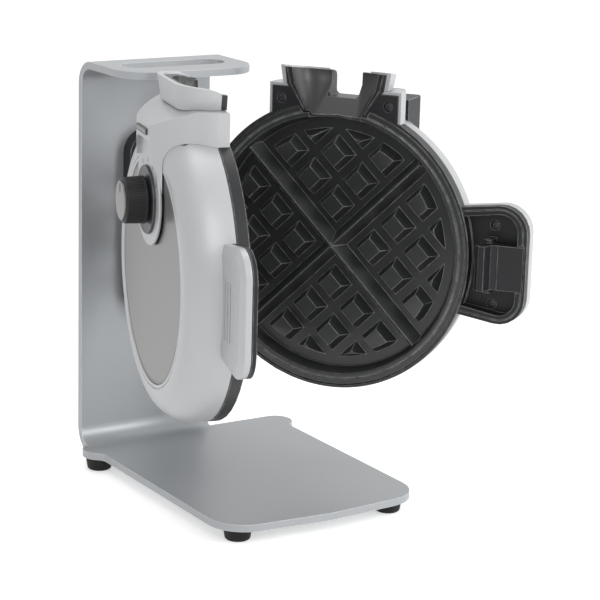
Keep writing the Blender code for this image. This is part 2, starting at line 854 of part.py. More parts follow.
def make_plate(half, side, prefix):
    outside = RIM_RADIUS - RIM_WALL - LEDGE_WIDTH - TOUCH
    edge = plate_radius()
    back = PLATE_FACE + PLATE_FLANGE
    profile = [
        (0, CAVITY_DEPTH),
        (CAVITY_FLOOR_RADIUS, CAVITY_DEPTH),
        (CAVITY_RADIUS, PLATE_FACE),
        (edge, PLATE_FACE),
        (edge, back),
        (outside, back),
        (outside, CAVITY_DEPTH),
        (outside - PLATE_WALL, CAVITY_DEPTH + PLATE_WALL),
        (0, CAVITY_DEPTH + PLATE_WALL),
    ]
    plate = piece(f"{prefix}_grid_plate", turned(side, profile), "nonstick", half)
    blocks = cutter(f"{prefix}_blocks", grid_blocks(side), half)
    keep = [
        (0, BLOCK_FACE - OVERRUN),
        (BLOCKS_RADIUS - BLOCKS_DRAFT, BLOCK_FACE - OVERRUN),
        (BLOCKS_RADIUS, CAVITY_DEPTH + BLOCK_ROOT + WELD),
        (0, CAVITY_DEPTH + BLOCK_ROOT + WELD),
    ]
    combine(blocks, cutter(f"{prefix}_blocks_edge", turned(side, keep), half), "INTERSECT")
    join(plate, blocks)
    for name, turn in (("rising", pi / 4), ("falling", -pi / 4)):
        join(plate, cutter(f"{prefix}_rib_{name}", rib(side, turn), half))
    room = LINER_FOOT_HALF + LINER_SPREAD
    foot = LINER_FOOT_UP - TOUCH
    flange_cut = block_between(
        side, (-room, room), (foot, RIM_RADIUS), (-OVERRUN, CAVITY_DEPTH + PLATE_WALL)
    )
    gate = block_between(
        side, (-GATE_HALF, GATE_HALF), (BLOCKS_RADIUS, RIM_RADIUS), (-OVERRUN, GATE_DEPTH)
    )
    cut(plate, cutter(f"{prefix}_flange_cut", flange_cut, half))
    cut(plate, cutter(f"{prefix}_gate", gate, half))


# Heater, reflector, shell and disc


def plate_back():
    return CAVITY_DEPTH + PLATE_WALL


def make_heater(half, side, prefix):
    """A bent tube heater against the back of the plate, its two ends turned outwards."""
    out = plate_back() + TOUCH + HEATER_TUBE
    first = -pi / 2 + HEATER_GAP_ANGLE / 2
    sweep = 2 * pi - HEATER_GAP_ANGLE
    steps = RING_STEPS // 2
    centres = []
    for step in range(steps + 1):
        angle = first + sweep * step / steps
        centres.append((HEATER_RADIUS * cos(angle), HEATER_RADIUS * sin(angle), angle))
    rings = []
    for along, up, angle in centres:
        ring = []
        for k in range(8):
            turn = 2 * pi * k / 8
            grow = HEATER_TUBE * cos(turn)
            ring.append(
                at(
                    side,
                    along + grow * cos(angle),
                    up + grow * sin(angle),
                    out + HEATER_TUBE * sin(turn),
                )
            )
        rings.append(ring)
    piece(f"{prefix}_heater", loft(rings), "steel", half)


def reflector_face():
    return RIM_DEPTH + TOUCH + REFLECTOR_DEPTH


def make_reflector(half, side, prefix):
    rest = RIM_DEPTH + TOUCH
    floor = reflector_face()
    sheet = REFLECTOR_SHEET
    edge = RIM_RADIUS - RIM_WALL - SHELL_WALL
    profile = [
        (0, floor - sheet),
        (REFLECTOR_FLOOR_RADIUS, floor - sheet),
        (REFLECTOR_WALL_RADIUS, rest),
        (edge, rest),
        (edge, rest + sheet),
        (REFLECTOR_WALL_RADIUS + sheet, rest + sheet),
        (REFLECTOR_FLOOR_RADIUS + sheet, floor),
        (0, floor),
    ]
    reflector = piece(f"{prefix}_reflector", turned(side, profile), "steel", half)
    room = LINER_FOOT_HALF + 2 * RUNNING
    notch_cut = block_between(
        side, (-room, room), (LINER_FOOT_UP - OVERRUN, RIM_RADIUS), (rest - OVERRUN, floor)
    )
    cut(reflector, cutter(f"{prefix}_reflector_cut", notch_cut, half))


def shoulder(grow=0.0):
    """The dome's outer shoulder as (radius, out), from the rim to the lip round the disc."""
    low = RIM_DEPTH + TOUCH
    rise = SHELL_FACE - low
    run = RIM_RADIUS - SHELL_LIP_RADIUS
    points = []
    for step in range(SHELL_SHOULDER_STEPS + 1):
        share = step / SHELL_SHOULDER_STEPS
        turn = share * pi / 2
        power = 2 / SHELL_SHOULDER_POWER
        radius = SHELL_LIP_RADIUS + run * cos(turn) ** power
        out = low + rise * sin(turn) ** power
        points.append((radius + grow * cos(turn), out + grow * sin(turn)))
    return points


def disc_face():
    return SHELL_FACE - DISC_SUNK


def disc_seat():
    return disc_face() - DISC_THICK - TOUCH


def make_shell(half, side, prefix):
    outer = shoulder()
    lip = DISC_RADIUS + TOUCH
    hole = DISC_RADIUS - DISC_SEAT
    inner = [(radius, out) for radius, out in reversed(shoulder(-SHELL_WALL))]
    inner[-1] = (RIM_RADIUS - SHELL_WALL, RIM_DEPTH + TOUCH)
    under = disc_seat() - SHELL_WALL
    inner = [(radius, min(out, under)) for radius, out in inner]
    profile = outer + [(lip, SHELL_FACE), (lip, disc_seat()), (hole, disc_seat()), (hole, under)]
    profile += [point for point in inner if point[0] > lip]
    shell = piece(f"{prefix}_shell", turned(side, profile), "silver_paint", half)
    open_half = HOOD_MID_HALF - 2 * HOOD_WALL
    window = block_between(
        side,
        (-open_half, open_half),
        (LINER_FOOT_UP - 2 * OVERRUN, RIM_RADIUS + OVERRUN),
        (RIM_DEPTH - OVERRUN, SHELL_FACE),
    )
    cut(shell, cutter(f"{prefix}_window", window, half))
    return shell


def dome_room(side, grow=TOUCH):
    """The space of the rim and dome, grown by a gap, for what seats on them."""
    rim = RIM_RADIUS + TOUCH
    profile = [(0, -OVERRUN), (rim, -OVERRUN), (rim, RIM_DEPTH + TOUCH)]
    profile += shoulder(grow) + [(0, SHELL_FACE + grow)]
    return turned(side, profile)


def make_disc(half, side, prefix, shaft):
    low = disc_face() - DISC_THICK
    disc = piece(
        f"{prefix}_disc",
        turned(side, disc_profile(DISC_RADIUS, low, disc_face())),
        "brushed_steel",
        half,
    )
    if shaft:
        hole = disc_profile(SHAFT_HOLE, low - OVERRUN, disc_face() + OVERRUN)
        hole = turned(side, hole, up=KNOB_UP, steps=SMALL_STEPS)
        cut(disc, cutter(f"{prefix}_disc_hole", hole, half))


# Hood and what sits on it


def hood_plan(wall=0.0, last=HOOD_FACE):
    """Half of the hood's outline seen from above, from the closing plane to its face."""
    bends = [
        (HOOD_HALF, HOOD_FRONT),
        (HOOD_HALF, HOOD_SIDE_OUT),
        (HOOD_MID_HALF, HOOD_MID_OUT),
        (HOOD_BEND_HALF, HOOD_BEND_OUT),
        (HOOD_FACE_HALF, HOOD_FACE),
    ]
    shape = [(half - wall, min(out, last) - (wall if out == last else 0)) for half, out in bends]
    return shape


def hood_outline(wall=0.0, front=HOOD_FRONT):
    right = hood_plan(wall)
    right[0] = (right[0][0], front)
    right[-1] = (right[-1][0], HOOD_FACE - wall)
    return right + [(-half, out) for half, out in reversed(right)]


def column(side, plan, low, high):
    return loft([[at(side, a, up, out) for a, out in plan] for up in (low, high)])


def roof_room(side, grow=0.0):
    """Everything above the sloping top of the hood."""
    reach = HOOD_HALF + OVERRUN
    top = MOUTH_UP
    line = [
        (-OVERRUN, HOOD_TOP + grow),
        (HOOD_ROOF_OUT, HOOD_TOP + grow),
        (HOOD_ROOF_MID_OUT, HOOD_ROOF_MID + grow),
        (HOOD_FACE + OVERRUN, HOOD_BROW + grow),
        (HOOD_FACE + OVERRUN, top),
        (-OVERRUN, top),
    ]
    return loft([[at(side, a, up, out) for out, up in line] for a in (-reach, reach)])


def under_roof(side, grow):
    """Everything below the sloping top of the hood, raised by a gap."""
    reach = HOOD_HALF + OVERRUN
    line = [
        (-2 * OVERRUN, HOOD_TOP + grow),
        (HOOD_ROOF_OUT, HOOD_TOP + grow),
        (HOOD_ROOF_MID_OUT, HOOD_ROOF_MID + grow),
        (HOOD_FACE + OVERRUN, HOOD_BROW + grow),
        (HOOD_FACE + OVERRUN, HOOD_FOOT),
        (-2 * OVERRUN, HOOD_FOOT),
    ]
    return loft([[at(side, a, up, out) for out, up in line] for a in (-reach, reach)])


def ear_pocket(side):
    half, top = EAR_HALF + TOUCH, EAR_TOP + TOUCH
    return block_between(side, (-half, half), (HOOD_FOOT, top), (-OVERRUN, EAR_DEPTH + TOUCH))


def fascia_outline():
    """The tongue that hangs from the hood to the knob, as (along, up)."""
    round_end = arc((0, KNOB_UP), FASCIA_RADIUS, 150, 390, 3 * CORNER_STEPS)
    waist = [(FASCIA_WAIST_HALF, FASCIA_WAIST_UP), (FASCIA_WAIST_HALF, HOOD_LEDGE + OVERRUN)]
    return round_end + waist + [(-a, up) for a, up in reversed(waist)]


def make_hood(half, side, prefix, outward, finish, inward=HOOD_FRONT):
    """The neck moulding, or the slice of it between two distances out."""
    plan = hood_outline(front=HOOD_FRONT)
    hood = piece(f"{prefix}", column(side, plan, HOOD_FOOT, MOUTH_UP), finish, half)
    if inward > HOOD_FRONT or outward < HOOD_FACE:
        reach, top = HOOD_HALF + OVERRUN, MOUTH_UP + OVERRUN
        keep = block_between(side, (-reach, reach), (-top, top), (inward, outward))
        combine(hood, cutter(f"{prefix}_slice", keep, half), "INTERSECT")
    cut(hood, cutter(f"{prefix}_roof", roof_room(side), half))
    hollow = column(
        side,
        hood_outline(HOOD_WALL, EAR_DEPTH + TOUCH + HOOD_WALL),
        HOOD_FOOT - OVERRUN,
        HOOD_CEILING,
    )
    cut(hood, cutter(f"{prefix}_hollow", hollow, half))
    cut(hood, cutter(f"{prefix}_ear_pocket", ear_pocket(side), half))
    liner = funnel_loft(side, liner_sections(), -OVERRUN, TOUCH)
    cut(hood, cutter(f"{prefix}_liner_room", liner, half))
    return hood


def make_control_hood(half, side):
    hood = make_hood(half, side, "control_hood", HOOD_FACE, "silver_paint")
    reach = HOOD_HALF + OVERRUN
    step = block_between(
        side,
        (-reach, reach),
        (-HOOD_FOOT, HOOD_LEDGE),
        (FASCIA_FACE, HOOD_FACE + OVERRUN),
    )
    cut(hood, cutter("hood_step", step, half))
    tongue = slab(side, fascia_outline(), SHELL_FACE + TOUCH, FASCIA_FACE)
    join(hood, cutter("fascia_tongue", tongue, half))
    cut(hood, cutter("hood_dome_room", dome_room(side), half))
    hole = turned(
        side,
        disc_profile(SHAFT_HOLE, SHELL_FACE - OVERRUN, FASCIA_FACE + OVERRUN),
        up=KNOB_UP,
        steps=SMALL_STEPS,
    )
    cut(hood, cutter("fascia_hole", hole, half))
    for name, along in ear_screw_places():
        cut(hood, cutter(f"control_hood_{name}", screw_room(side, along, EAR_SCREW_UP), half))
    badge_low, badge_high = BADGE_UP - BADGE_HEIGHT / 2, BADGE_UP + BADGE_HEIGHT / 2
    corner = BADGE_THICK
    shape = rounded(
        [
            (-BADGE_LENGTH / 2, badge_low, corner),
            (BADGE_LENGTH / 2, badge_low, corner),
            (BADGE_LENGTH / 2, badge_high, corner),
            (-BADGE_LENGTH / 2, badge_high, corner),
        ]
    )
    face = HOOD_FACE + TOUCH
    piece("badge_plate", slab(side, shape, face, face + BADGE_THICK), "dark_metal", half)


def make_lid_neck(half, side, shell):
    """The lid's neck: silver sides in one piece with the shell, and a black back cover."""
    neck = make_hood(half, side, "lid_neck", LID_NECK_OUT, None)
    neck.hide_render = True
    neck.display_type = "WIRE"
    back = make_hood(half, side, "lid_back_cover", HOOD_FACE, "black_plastic", LID_NECK_OUT + TOUCH)
    for part, name, grow in ((neck, "neck", -SHELL_WALL / 2), (back, "back", TOUCH)):
        channel = notch(side, COLLAR_NOTCH_HALF, NOTCH_BACK_FLOOR)
        cut(part, cutter(f"lid_{name}_notch", channel, half))
        cut(part, cutter(f"lid_{name}_dome_room", dome_room(side, grow), half))
    for name, along in ear_screw_places():
        cut(neck, cutter(f"lid_neck_{name}", screw_room(side, along, EAR_SCREW_UP), half))
    join(shell, neck)


def collar_band(side):
    """A silver band round the liner above the hood, open at the closing plane."""
    rings = []
    for up, half, depth in liner_sections():
        wall = COLLAR_WALL + (COLLAR_FLARE if up == liner_top() else 0)
        plan = funnel_section(half + wall, depth + wall, HOOD_FRONT)
        plan += reversed(funnel_section(half + TOUCH, depth + TOUCH, HOOD_FRONT))
        rings.append([at(side, a, up, out) for a, out in plan])
    return loft(rings)


def make_collar(half, side, name, keep=None):
    collar = piece(name, collar_band(side), "silver_paint", half)
    cut(collar, cutter(f"{name}_under", under_roof(side, TOUCH), half))
    cut(collar, cutter(f"{name}_mouth", above_mouth(side), half))
    if keep:
        reach, top = HOOD_HALF + OVERRUN, liner_top() + OVERRUN
        spans = {"hinge": (-reach, -COLLAR_NOTCH_HALF), "handle": (COLLAR_NOTCH_HALF, reach)}
        box = block_between(side, spans[keep], (HOOD_FOOT, top), (-OVERRUN, HOOD_FACE))
        combine(collar, cutter(f"{name}_keep", box, half), "INTERSECT")


# Dial and knob


def make_dial(half, side, knob):
    face = FASCIA_FACE + TOUCH
    rim = face + DISH_THICK
    dish = [
        (SHAFT_HOLE, face),
        (DISH_RADIUS, face),
        (DISH_RADIUS, rim),
        (DISH_RADIUS - DISH_HOLLOW, rim),
        (DISH_LAND, rim - DISH_HOLLOW),
        (SHAFT_HOLE, rim - DISH_HOLLOW),
    ]
    piece("dial_bezel", turned(side, dish, up=KNOB_UP, steps=RING_STEPS), "dark_metal", half)
    low = rim + RUNNING
    high = low + KNOB_LENGTH
    socket = SHAFT_RADIUS + TOUCH
    body = [
        (socket, low),
        (KNOB_RADIUS, low),
        (KNOB_RADIUS, low + KNOB_EDGE),
        (KNOB_FRONT_RADIUS, high - KNOB_EDGE),
        (KNOB_FRONT_RADIUS - KNOB_EDGE, high),
        (KNOB_CAP_RADIUS + TOUCH, high),
        (KNOB_CAP_RADIUS + TOUCH, high - KNOB_CAP_SUNK),
        (0, high - KNOB_CAP_SUNK),
        (0, low + KNOB_SOCKET),
        (socket, low + KNOB_SOCKET),
    ]
    piece("knob", turned(side, body, up=KNOB_UP), "black_plastic", knob)
    seat = high - KNOB_CAP_SUNK + TOUCH
    cap = disc_profile(KNOB_CAP_RADIUS, seat, seat + KNOB_CAP_THICK)
    piece("knob_cap", turned(side, cap, up=KNOB_UP), "brushed_steel", knob)
    root = reflector_face() + 2 * TOUCH + THERMOSTAT_DEPTH
    shaft = disc_profile(SHAFT_RADIUS, root, low + KNOB_SOCKET - TOUCH)
    shaft = turned(side, shaft, up=KNOB_UP, steps=SMALL_STEPS)
    piece("thermostat_shaft", shaft, "steel", knob)
    rest = reflector_face() + TOUCH
    width, height = THERMOSTAT_WIDTH / 2, THERMOSTAT_HEIGHT / 2
    body = block_between(
        side,
        (-width, width),
        (KNOB_UP - height, KNOB_UP + height),
        (rest, rest + THERMOSTAT_DEPTH),
    )
    piece("thermostat", body, "black_plastic", half)


# Handles


def handle_outline(shrink=0.0, root=HANDLE_ROOT):
    """The handle seen square on: its sides spread towards the tip, whose corners are round."""
    reach, corner = HANDLE_REACH - shrink, HANDLE_CORNER - shrink
    spread = (HANDLE_HALF - HANDLE_ROOT_HALF) / (HANDLE_REACH - HANDLE_ROOT)
    wide = HANDLE_HALF - shrink
    slim = HANDLE_ROOT_HALF + spread * (root - HANDLE_ROOT) - shrink
    tip = ((reach, HANDLE_RISE - wide, corner), (reach, HANDLE_RISE + wide, corner))
    return rounded([(root, HANDLE_RISE - slim, 0), *tip, (root, HANDLE_RISE + slim, 0)])


def handle_top(along, shrink):
    """How far out the back of the handle lies at this place along it."""
    share = (along - HANDLE_KNEE) / (HANDLE_REACH - HANDLE_KNEE)
    share = min(max(share, 0), 1)
    return HANDLE_BACK_OUT + (HANDLE_TIP_OUT - HANDLE_BACK_OUT) * share - shrink


def handle_body(side, inner, shrink=0.0, root=HANDLE_ROOT):
    """The handle's block, its back sloping towards the tip from a bend at the knee."""
    outline = handle_outline(shrink, root)
    front = [at(side, a, u, inner) for a, u in outline]
    back = [at(side, a, u, handle_top(a, shrink)) for a, u in outline]
    bm = loft([front, back])
    geometry = bm.verts[:] + bm.edges[:] + bm.faces[:]
    knee = at(side, HANDLE_KNEE, 0, 0)
    bmesh.ops.bisect_plane(bm, geom=geometry, plane_co=knee, plane_no=(0, 1, 0))
    for vert in bm.verts:
        if abs(side * vert.co.x - inner) > WELD:
            vert.co.x = side * handle_top(-vert.co.y - HINGE_TO_DISC, shrink)
    return bm


def handle_split(side):
    """Where the black inner part of the handle ends and the silver shell starts."""
    return COVER_FACE + COVER_THICK if side == CONTROL else TRAY_FACE + TRAY_BRIM


def make_handle_shell(half, side, prefix):
    start = handle_split(side) + TOUCH
    shell = piece(f"{prefix}_handle_shell", handle_body(side, start), "silver_paint", half)
    pocket = handle_body(side, start - OVERRUN, HANDLE_WALL, HANDLE_ROOT - OVERRUN)
    cut(shell, cutter(f"{prefix}_handle_pocket", pocket, half))
    cut(shell, cutter(f"{prefix}_handle_dome_room", dome_room(side), half))
    low, high = GRIP_RISE - GRIP_LENGTH / 2, GRIP_RISE + GRIP_LENGTH / 2
    for step in range(3):
        along = GRIP_FIRST + GRIP_PITCH * step
        deep = handle_top(along, 0) - GRIP_DEPTH
        span = (along - GRIP_WIDTH / 2, along + GRIP_WIDTH / 2)
        groove = block_between(side, span, (low, high), (deep, deep + OVERRUN))
        cut(shell, cutter(f"{prefix}_grip_{step + 1}", groove, half))


def make_control_cover(half, side):
    """The flat black inner side of the control half's handle, with the catch for the latch."""
    start, stop = COVER_FACE, COVER_FACE + COVER_THICK
    plate = slab(side, handle_outline(), start, stop)
    cover = piece("control_handle_cover", plate, "black_plastic", half)
    edge = LATCH_ARM_ALONG - CATCH_EDGE
    low_out = -LATCH_BARB_OUT - LATCH_ROOM
    profile = [
        (CATCH_WALL_FIRST, start + COVER_THICK / 2),
        (CATCH_WALL_FIRST, CATCH_LIP_OUT),
        (edge, CATCH_LIP_OUT),
        (edge, low_out),
        (CATCH_WALL_LAST, low_out),
        (CATCH_WALL_LAST, start + COVER_THICK / 2),
    ]
    ends = (LATCH_RISE - CATCH_HALF, LATCH_RISE + CATCH_HALF)
    catch = loft([[at(side, a, u, out) for a, out in profile] for u in ends])
    join(cover, cutter("latch_catch", catch, half))
    cut(cover, cutter("control_cover_dome_room", dome_room(side), half))
    for name, up in handle_screw_places():
        room = screw_room(side, HANDLE_SCREW_ALONG, up, start)
        cut(cover, cutter(f"control_cover_{name}", room, half))


def tray_floor():
    return TRAY_FACE + TRAY_DEEP


def make_lid_tray(half, side):
    """The lid handle's inner side: a sunk floor inside a double lip, with two latch ears."""
    start, floor = TRAY_FACE, tray_floor()
    stop = floor + TRAY_FLOOR
    pan = slab(side, handle_outline(HANDLE_WALL + TOUCH), start, stop)
    tray = piece("lid_handle_tray", pan, "black_plastic", half)
    join(tray, cutter("tray_brim", slab(side, handle_outline(), start, start + TRAY_BRIM), half))
    groove = slab(side, handle_outline(GROOVE_IN), start - OVERRUN, start + GROOVE_DEPTH)
    ridge = slab(side, handle_outline(GROOVE_IN + GROOVE_WIDTH), start, start + 2 * GROOVE_DEPTH)
    cut(tray, cutter("tray_groove", groove, half))
    join(tray, cutter("tray_inner_lip", ridge, half))
    inside = slab(side, handle_outline(TRAY_LIP, HANDLE_ROOT - OVERRUN), start - OVERRUN, floor)
    cut(tray, cutter("tray_well", inside, half))
    inner = LATCH_HALF + LATCH_ROOM
    bay = block_between(
        side,
        (LATCH_NOSE_FIRST, LATCH_END_ALONG + LATCH_ROOM),
        (LATCH_RISE - inner, LATCH_RISE + inner),
        (start - OVERRUN, floor),
    )
    cut(tray, cutter("latch_bay_room", bay, half))
    cut(tray, cutter("tray_dome_room", dome_room(side), half))
    for where, sign in (("upper", 1), ("lower", -1)):
        low, high = sorted((sign * inner, sign * (inner + LATCH_EAR_WALL)))
        outline = arc((LATCH_PIN_ALONG, LATCH_PIN_OUT), LATCH_EYE, 180, 360, CORNER_STEPS)
        outline += [
            (LATCH_PIN_ALONG + LATCH_EYE, floor + TRAY_FLOOR / 2),
            (LATCH_PIN_ALONG - LATCH_EYE, floor + TRAY_FLOOR / 2),
        ]
        ends = (LATCH_RISE + low, LATCH_RISE + high)
        ear = loft([[at(side, a, u, out) for a, out in outline] for u in ends])
        join(tray, cutter(f"latch_ear_{where}", ear, half))
    bore = latch_rod(side, LATCH_PIN_RADIUS + RUNNING, inner + LATCH_EAR_WALL + OVERRUN)
    cut(tray, cutter("latch_ear_bore", bore, half))
    for name, up in handle_screw_places():
        room = screw_room(side, HANDLE_SCREW_ALONG, up, floor)
        cut(tray, cutter(f"lid_tray_{name}", room, half))


# Screws


def ear_screw_places():
    return (("screw_hinge_side", -EAR_SCREW_ALONG), ("screw_handle_side", EAR_SCREW_ALONG))


def handle_screw_places():
    high, low = HANDLE_SCREW_RISE + HANDLE_SCREW_UP, HANDLE_SCREW_RISE - HANDLE_SCREW_UP
    return (("screw_upper", high), ("screw_lower", low))


def screw_room(side, along, up, face=TOUCH):
    """The hole for a screw whose head is sunk a little below the face."""
    head = SCREW_HEAD_RADIUS + SCREW_ROOM
    shank = SCREW_RADIUS + SCREW_ROOM
    under = face + SCREW_SUNK + SCREW_HEAD + TOUCH
    tip = face + SCREW_SUNK + SCREW_HEAD + SCREW_LENGTH + OVERRUN
    profile = [(0, face - OVERRUN), (head, face - OVERRUN)]
    profile += [(head, under), (shank, under), (shank, tip), (0, tip)]
    return turned(side, profile, along, up, SCREW_STEPS)


def make_screw(half, side, name, along, up, face=TOUCH, length=SCREW_LENGTH):
    top = face + SCREW_SUNK
    under = top + SCREW_HEAD
    profile = [
        (0, top + SCREW_SLOT),
        (SCREW_HEAD_RADIUS / 3, top + SCREW_SLOT),
        (SCREW_HEAD_RADIUS / 2, top),
        (SCREW_HEAD_RADIUS, top),
        (SCREW_HEAD_RADIUS, under),
        (SCREW_RADIUS, under),
        (SCREW_RADIUS, under + length),
        (0, under + length),
    ]
    piece(name, turned(side, profile, along, up, SCREW_STEPS), "steel", half)


# Latch


def latch_rod(side, radius, half_length):
    outline = arc((LATCH_PIN_ALONG, LATCH_PIN_OUT), radius, 0, 360, SCREW_STEPS)[:-1]
    ends = (LATCH_RISE - half_length, LATCH_RISE + half_length)
    return loft([[at(side, a, u, out) for a, out in outline] for u in ends])


def latch_profile():
    """The latch seen from above as (along, out): a hook at the disc's end, a thumb plate."""
    eye = arc((LATCH_PIN_ALONG, LATCH_PIN_OUT), LATCH_EYE, 60, 180, CORNER_STEPS)
    barb = LATCH_ARM_ALONG - LATCH_BARB_REACH
    return eye + [
        (LATCH_ARM_ALONG, LATCH_BARB_OUT),
        (barb, LATCH_BARB_OUT - LATCH_BARB_SLOPE),
        (LATCH_NOSE_FIRST, LATCH_NOSE_OUT),
        (LATCH_NOSE_LAST, LATCH_NOSE_OUT),
        (LATCH_VALLEY_ALONG, LATCH_VALLEY_OUT),
        (LATCH_STEP_ALONG, LATCH_STEP_OUT),
        (LATCH_STEP_ALONG, LATCH_PLATE_OUT),
        (LATCH_END_ALONG, LATCH_END_OUT),
        (LATCH_END_ALONG, LATCH_END_OUT + LATCH_PLATE_THICK),
    ]


def make_latch(half, side):
    """The latch turns about its pin, so its parent stands on the pin's line."""
    shift = at(side, LATCH_PIN_ALONG, 0, LATCH_PIN_OUT)
    latch = frame_empty("latch", half, shift)
    ends = (LATCH_RISE - LATCH_HALF, LATCH_RISE + LATCH_HALF)
    rings = [[at(side, a, u, out) - shift for a, out in latch_profile()] for u in ends]
    hook = piece("latch_hook", loft(rings), "black_plastic", latch)
    bore = latch_rod(side, LATCH_PIN_RADIUS + RUNNING, LATCH_HALF + OVERRUN)
    bay = block_between(
        side,
        (LATCH_ARM_ALONG - OVERRUN, LATCH_PIN_ALONG + LATCH_EYE),
        (LATCH_RISE - LATCH_BAY_HALF, LATCH_RISE + LATCH_BAY_HALF),
        (LATCH_PIN_OUT - LATCH_BAY_FRONT, LATCH_PIN_OUT + LATCH_EYE + OVERRUN),
    )
    for name, tool in (("latch_bore", bore), ("latch_bay", bay)):
        bmesh.ops.translate(tool, verts=tool.verts, vec=-shift)
        cut(hook, cutter(name, tool, latch))
    reach = LATCH_HALF + LATCH_ROOM + LATCH_EAR_WALL
    piece("latch_pin", latch_rod(side, LATCH_PIN_RADIUS, reach), "steel", half)


def make_latch_spring(half, side):
    """A small torsion spring round the latch pin, one unbroken coil."""
    count = SPRING_TURNS * SPRING_TURN_POINTS
    rise = SPRING_TURNS * SPRING_PITCH
    points = []
    for step in range(count + 1):
        turn = 2 * pi * step / SPRING_TURN_POINTS
        up = -rise / 2 + rise * step / count
        along = LATCH_PIN_ALONG + SPRING_RADIUS * cos(turn)
        out = LATCH_PIN_OUT + SPRING_RADIUS * sin(turn)
        points.append(at(side, along, LATCH_RISE + up, out))
    curve = bpy.data.curves.new("latch_spring", "CURVE")
    curve.dimensions = "3D"
    curve.bevel_depth = SPRING_WIRE
    curve.bevel_resolution = 1
    curve.use_fill_caps = True
    spline = curve.splines.new("POLY")
    spline.points.add(count)
    for knot, place in zip(spline.points, points):
        knot.co = (*place, 1)
    curve.materials.append(material("steel"))
    spring = bpy.data.objects.new("latch_spring", curve)
    spring.parent = half
    bpy.context.scene.collection.objects.link(spring)
    gaps = []
    for i, first in enumerate(points):
        for second in points[i + SPRING_TURN_POINTS // 2 :]:
            gaps.append((first - second).length - 2 * SPRING_WIRE)
    print(f"least gap of the latch spring to itself: {min(gaps) * 1000:.2f} mm")


# Halves


def make_half(half, side, prefix, knuckle):
    """What the two halves share."""
    rim = make_rim(half, side, prefix, knuckle)
    for name, along in ear_screw_places():
        cut(rim, cutter(f"{prefix}_rim_{name}", screw_room(side, along, EAR_SCREW_UP), half))
        make_screw(half, side, f"{prefix}_ear_{name}", along, EAR_SCREW_UP)
    make_plate(half, side, prefix)
    make_heater(half, side, prefix)
    make_reflector(half, side, prefix)
    make_disc(half, side, prefix, side == CONTROL)
    make_handle_shell(half, side, prefix)
    return make_shell(half, side, prefix)


def make_control_half(half):
    side = CONTROL
    make_half(half, side, "control", control_knuckle())
    make_control_hood(half, side)
    make_collar(half, side, "control_collar")
    knob = frame_empty("knob_axis", half, at(side, 0, KNOB_UP, 0))
    turning = frame_empty("knob_frame", knob, -at(side, 0, KNOB_UP, 0))
    make_dial(half, side, turning)
    make_control_cover(half, side)
    for name, up in handle_screw_places():
        place = (HANDLE_SCREW_ALONG, up, COVER_FACE)
        make_screw(half, side, f"control_handle_{name}", *place, COVER_THICK)


def make_lid_half(half):
    side = LID
    shell = make_half(half, side, "lid", lid_knuckle())
    make_lid_neck(half, side, shell)
    make_collar(half, side, "lid_collar_hinge_side", "hinge")
    make_collar(half, side, "lid_collar_handle_side", "handle")
    make_lid_tray(half, side)
    for name, up in handle_screw_places():
        place = (HANDLE_SCREW_ALONG, up, tray_floor())
        make_screw(half, side, f"lid_handle_{name}", *place, TRAY_FLOOR)
    make_latch(half, side)
    make_latch_spring(half, side)


def solids():
    return [
        obj
        for obj in bpy.context.scene.objects
        if obj.type in ("MESH", "CURVE") and not obj.hide_render
    ]


def centre_on_floor(root):
    """Moves the whole object so that its box stands centred on the origin."""
    bpy.context.view_layer.update()
    graph = bpy.context.evaluated_depsgraph_get()
    low, high = Vector((1e9,) * 3), Vector((-1e9,) * 3)
    for obj in solids():
        shape = obj.evaluated_get(graph)
        mesh = shape.to_mesh()
        for vert in mesh.vertices:
            place = shape.matrix_world @ vert.co
            low = Vector(map(min, low, place))
            high = Vector(map(max, high, place))
        shape.to_mesh_clear()
    middle = (low + high) / 2
    root.location = (-middle.x, -middle.y, -low.z)
    bpy.context.view_layer.update()
    print("size in mm:", [round(1000 * length, 2) for length in high - low])


def main():
    clear_scene()
    root = frame_empty("waffle_maker")
    stand = frame_empty("stand", root)
    place = (0, -HINGE_FORWARD, 0)
    control = frame_empty("control_half", root, place, -CONTROL_OPEN)
    lid = frame_empty("lid_half", root, place, LID_OPEN)
    make_stand(stand)
    make_feet(stand)
    make_hinge(stand)
    make_control_half(control)
    make_lid_half(lid)
    centre_on_floor(root)
    for name in ("stand", "control_half", "lid_half", "knob_axis", "latch"):
        where = bpy.data.objects[name].matrix_world
        axis = where.to_3x3() @ Vector((1, 0, 0))
        print(name, [round(v, 6) for v in where.translation], [round(v, 6) for v in axis])


main()
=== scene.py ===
# %% [markdown]
# A vertical waffle maker
#
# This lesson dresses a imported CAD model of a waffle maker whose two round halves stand
# upright on a bent metal stand and open like a book. The CAD model gives the places and the
# moving bodies. Each cell below models one visible piece with Blender's own tools, gives it
# a finish made from nodes, and lets it ride on the body that carries it.

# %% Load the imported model
import json
from math import atan, cos, pi, radians, sin

import bpy
from mathutils import Matrix, Vector


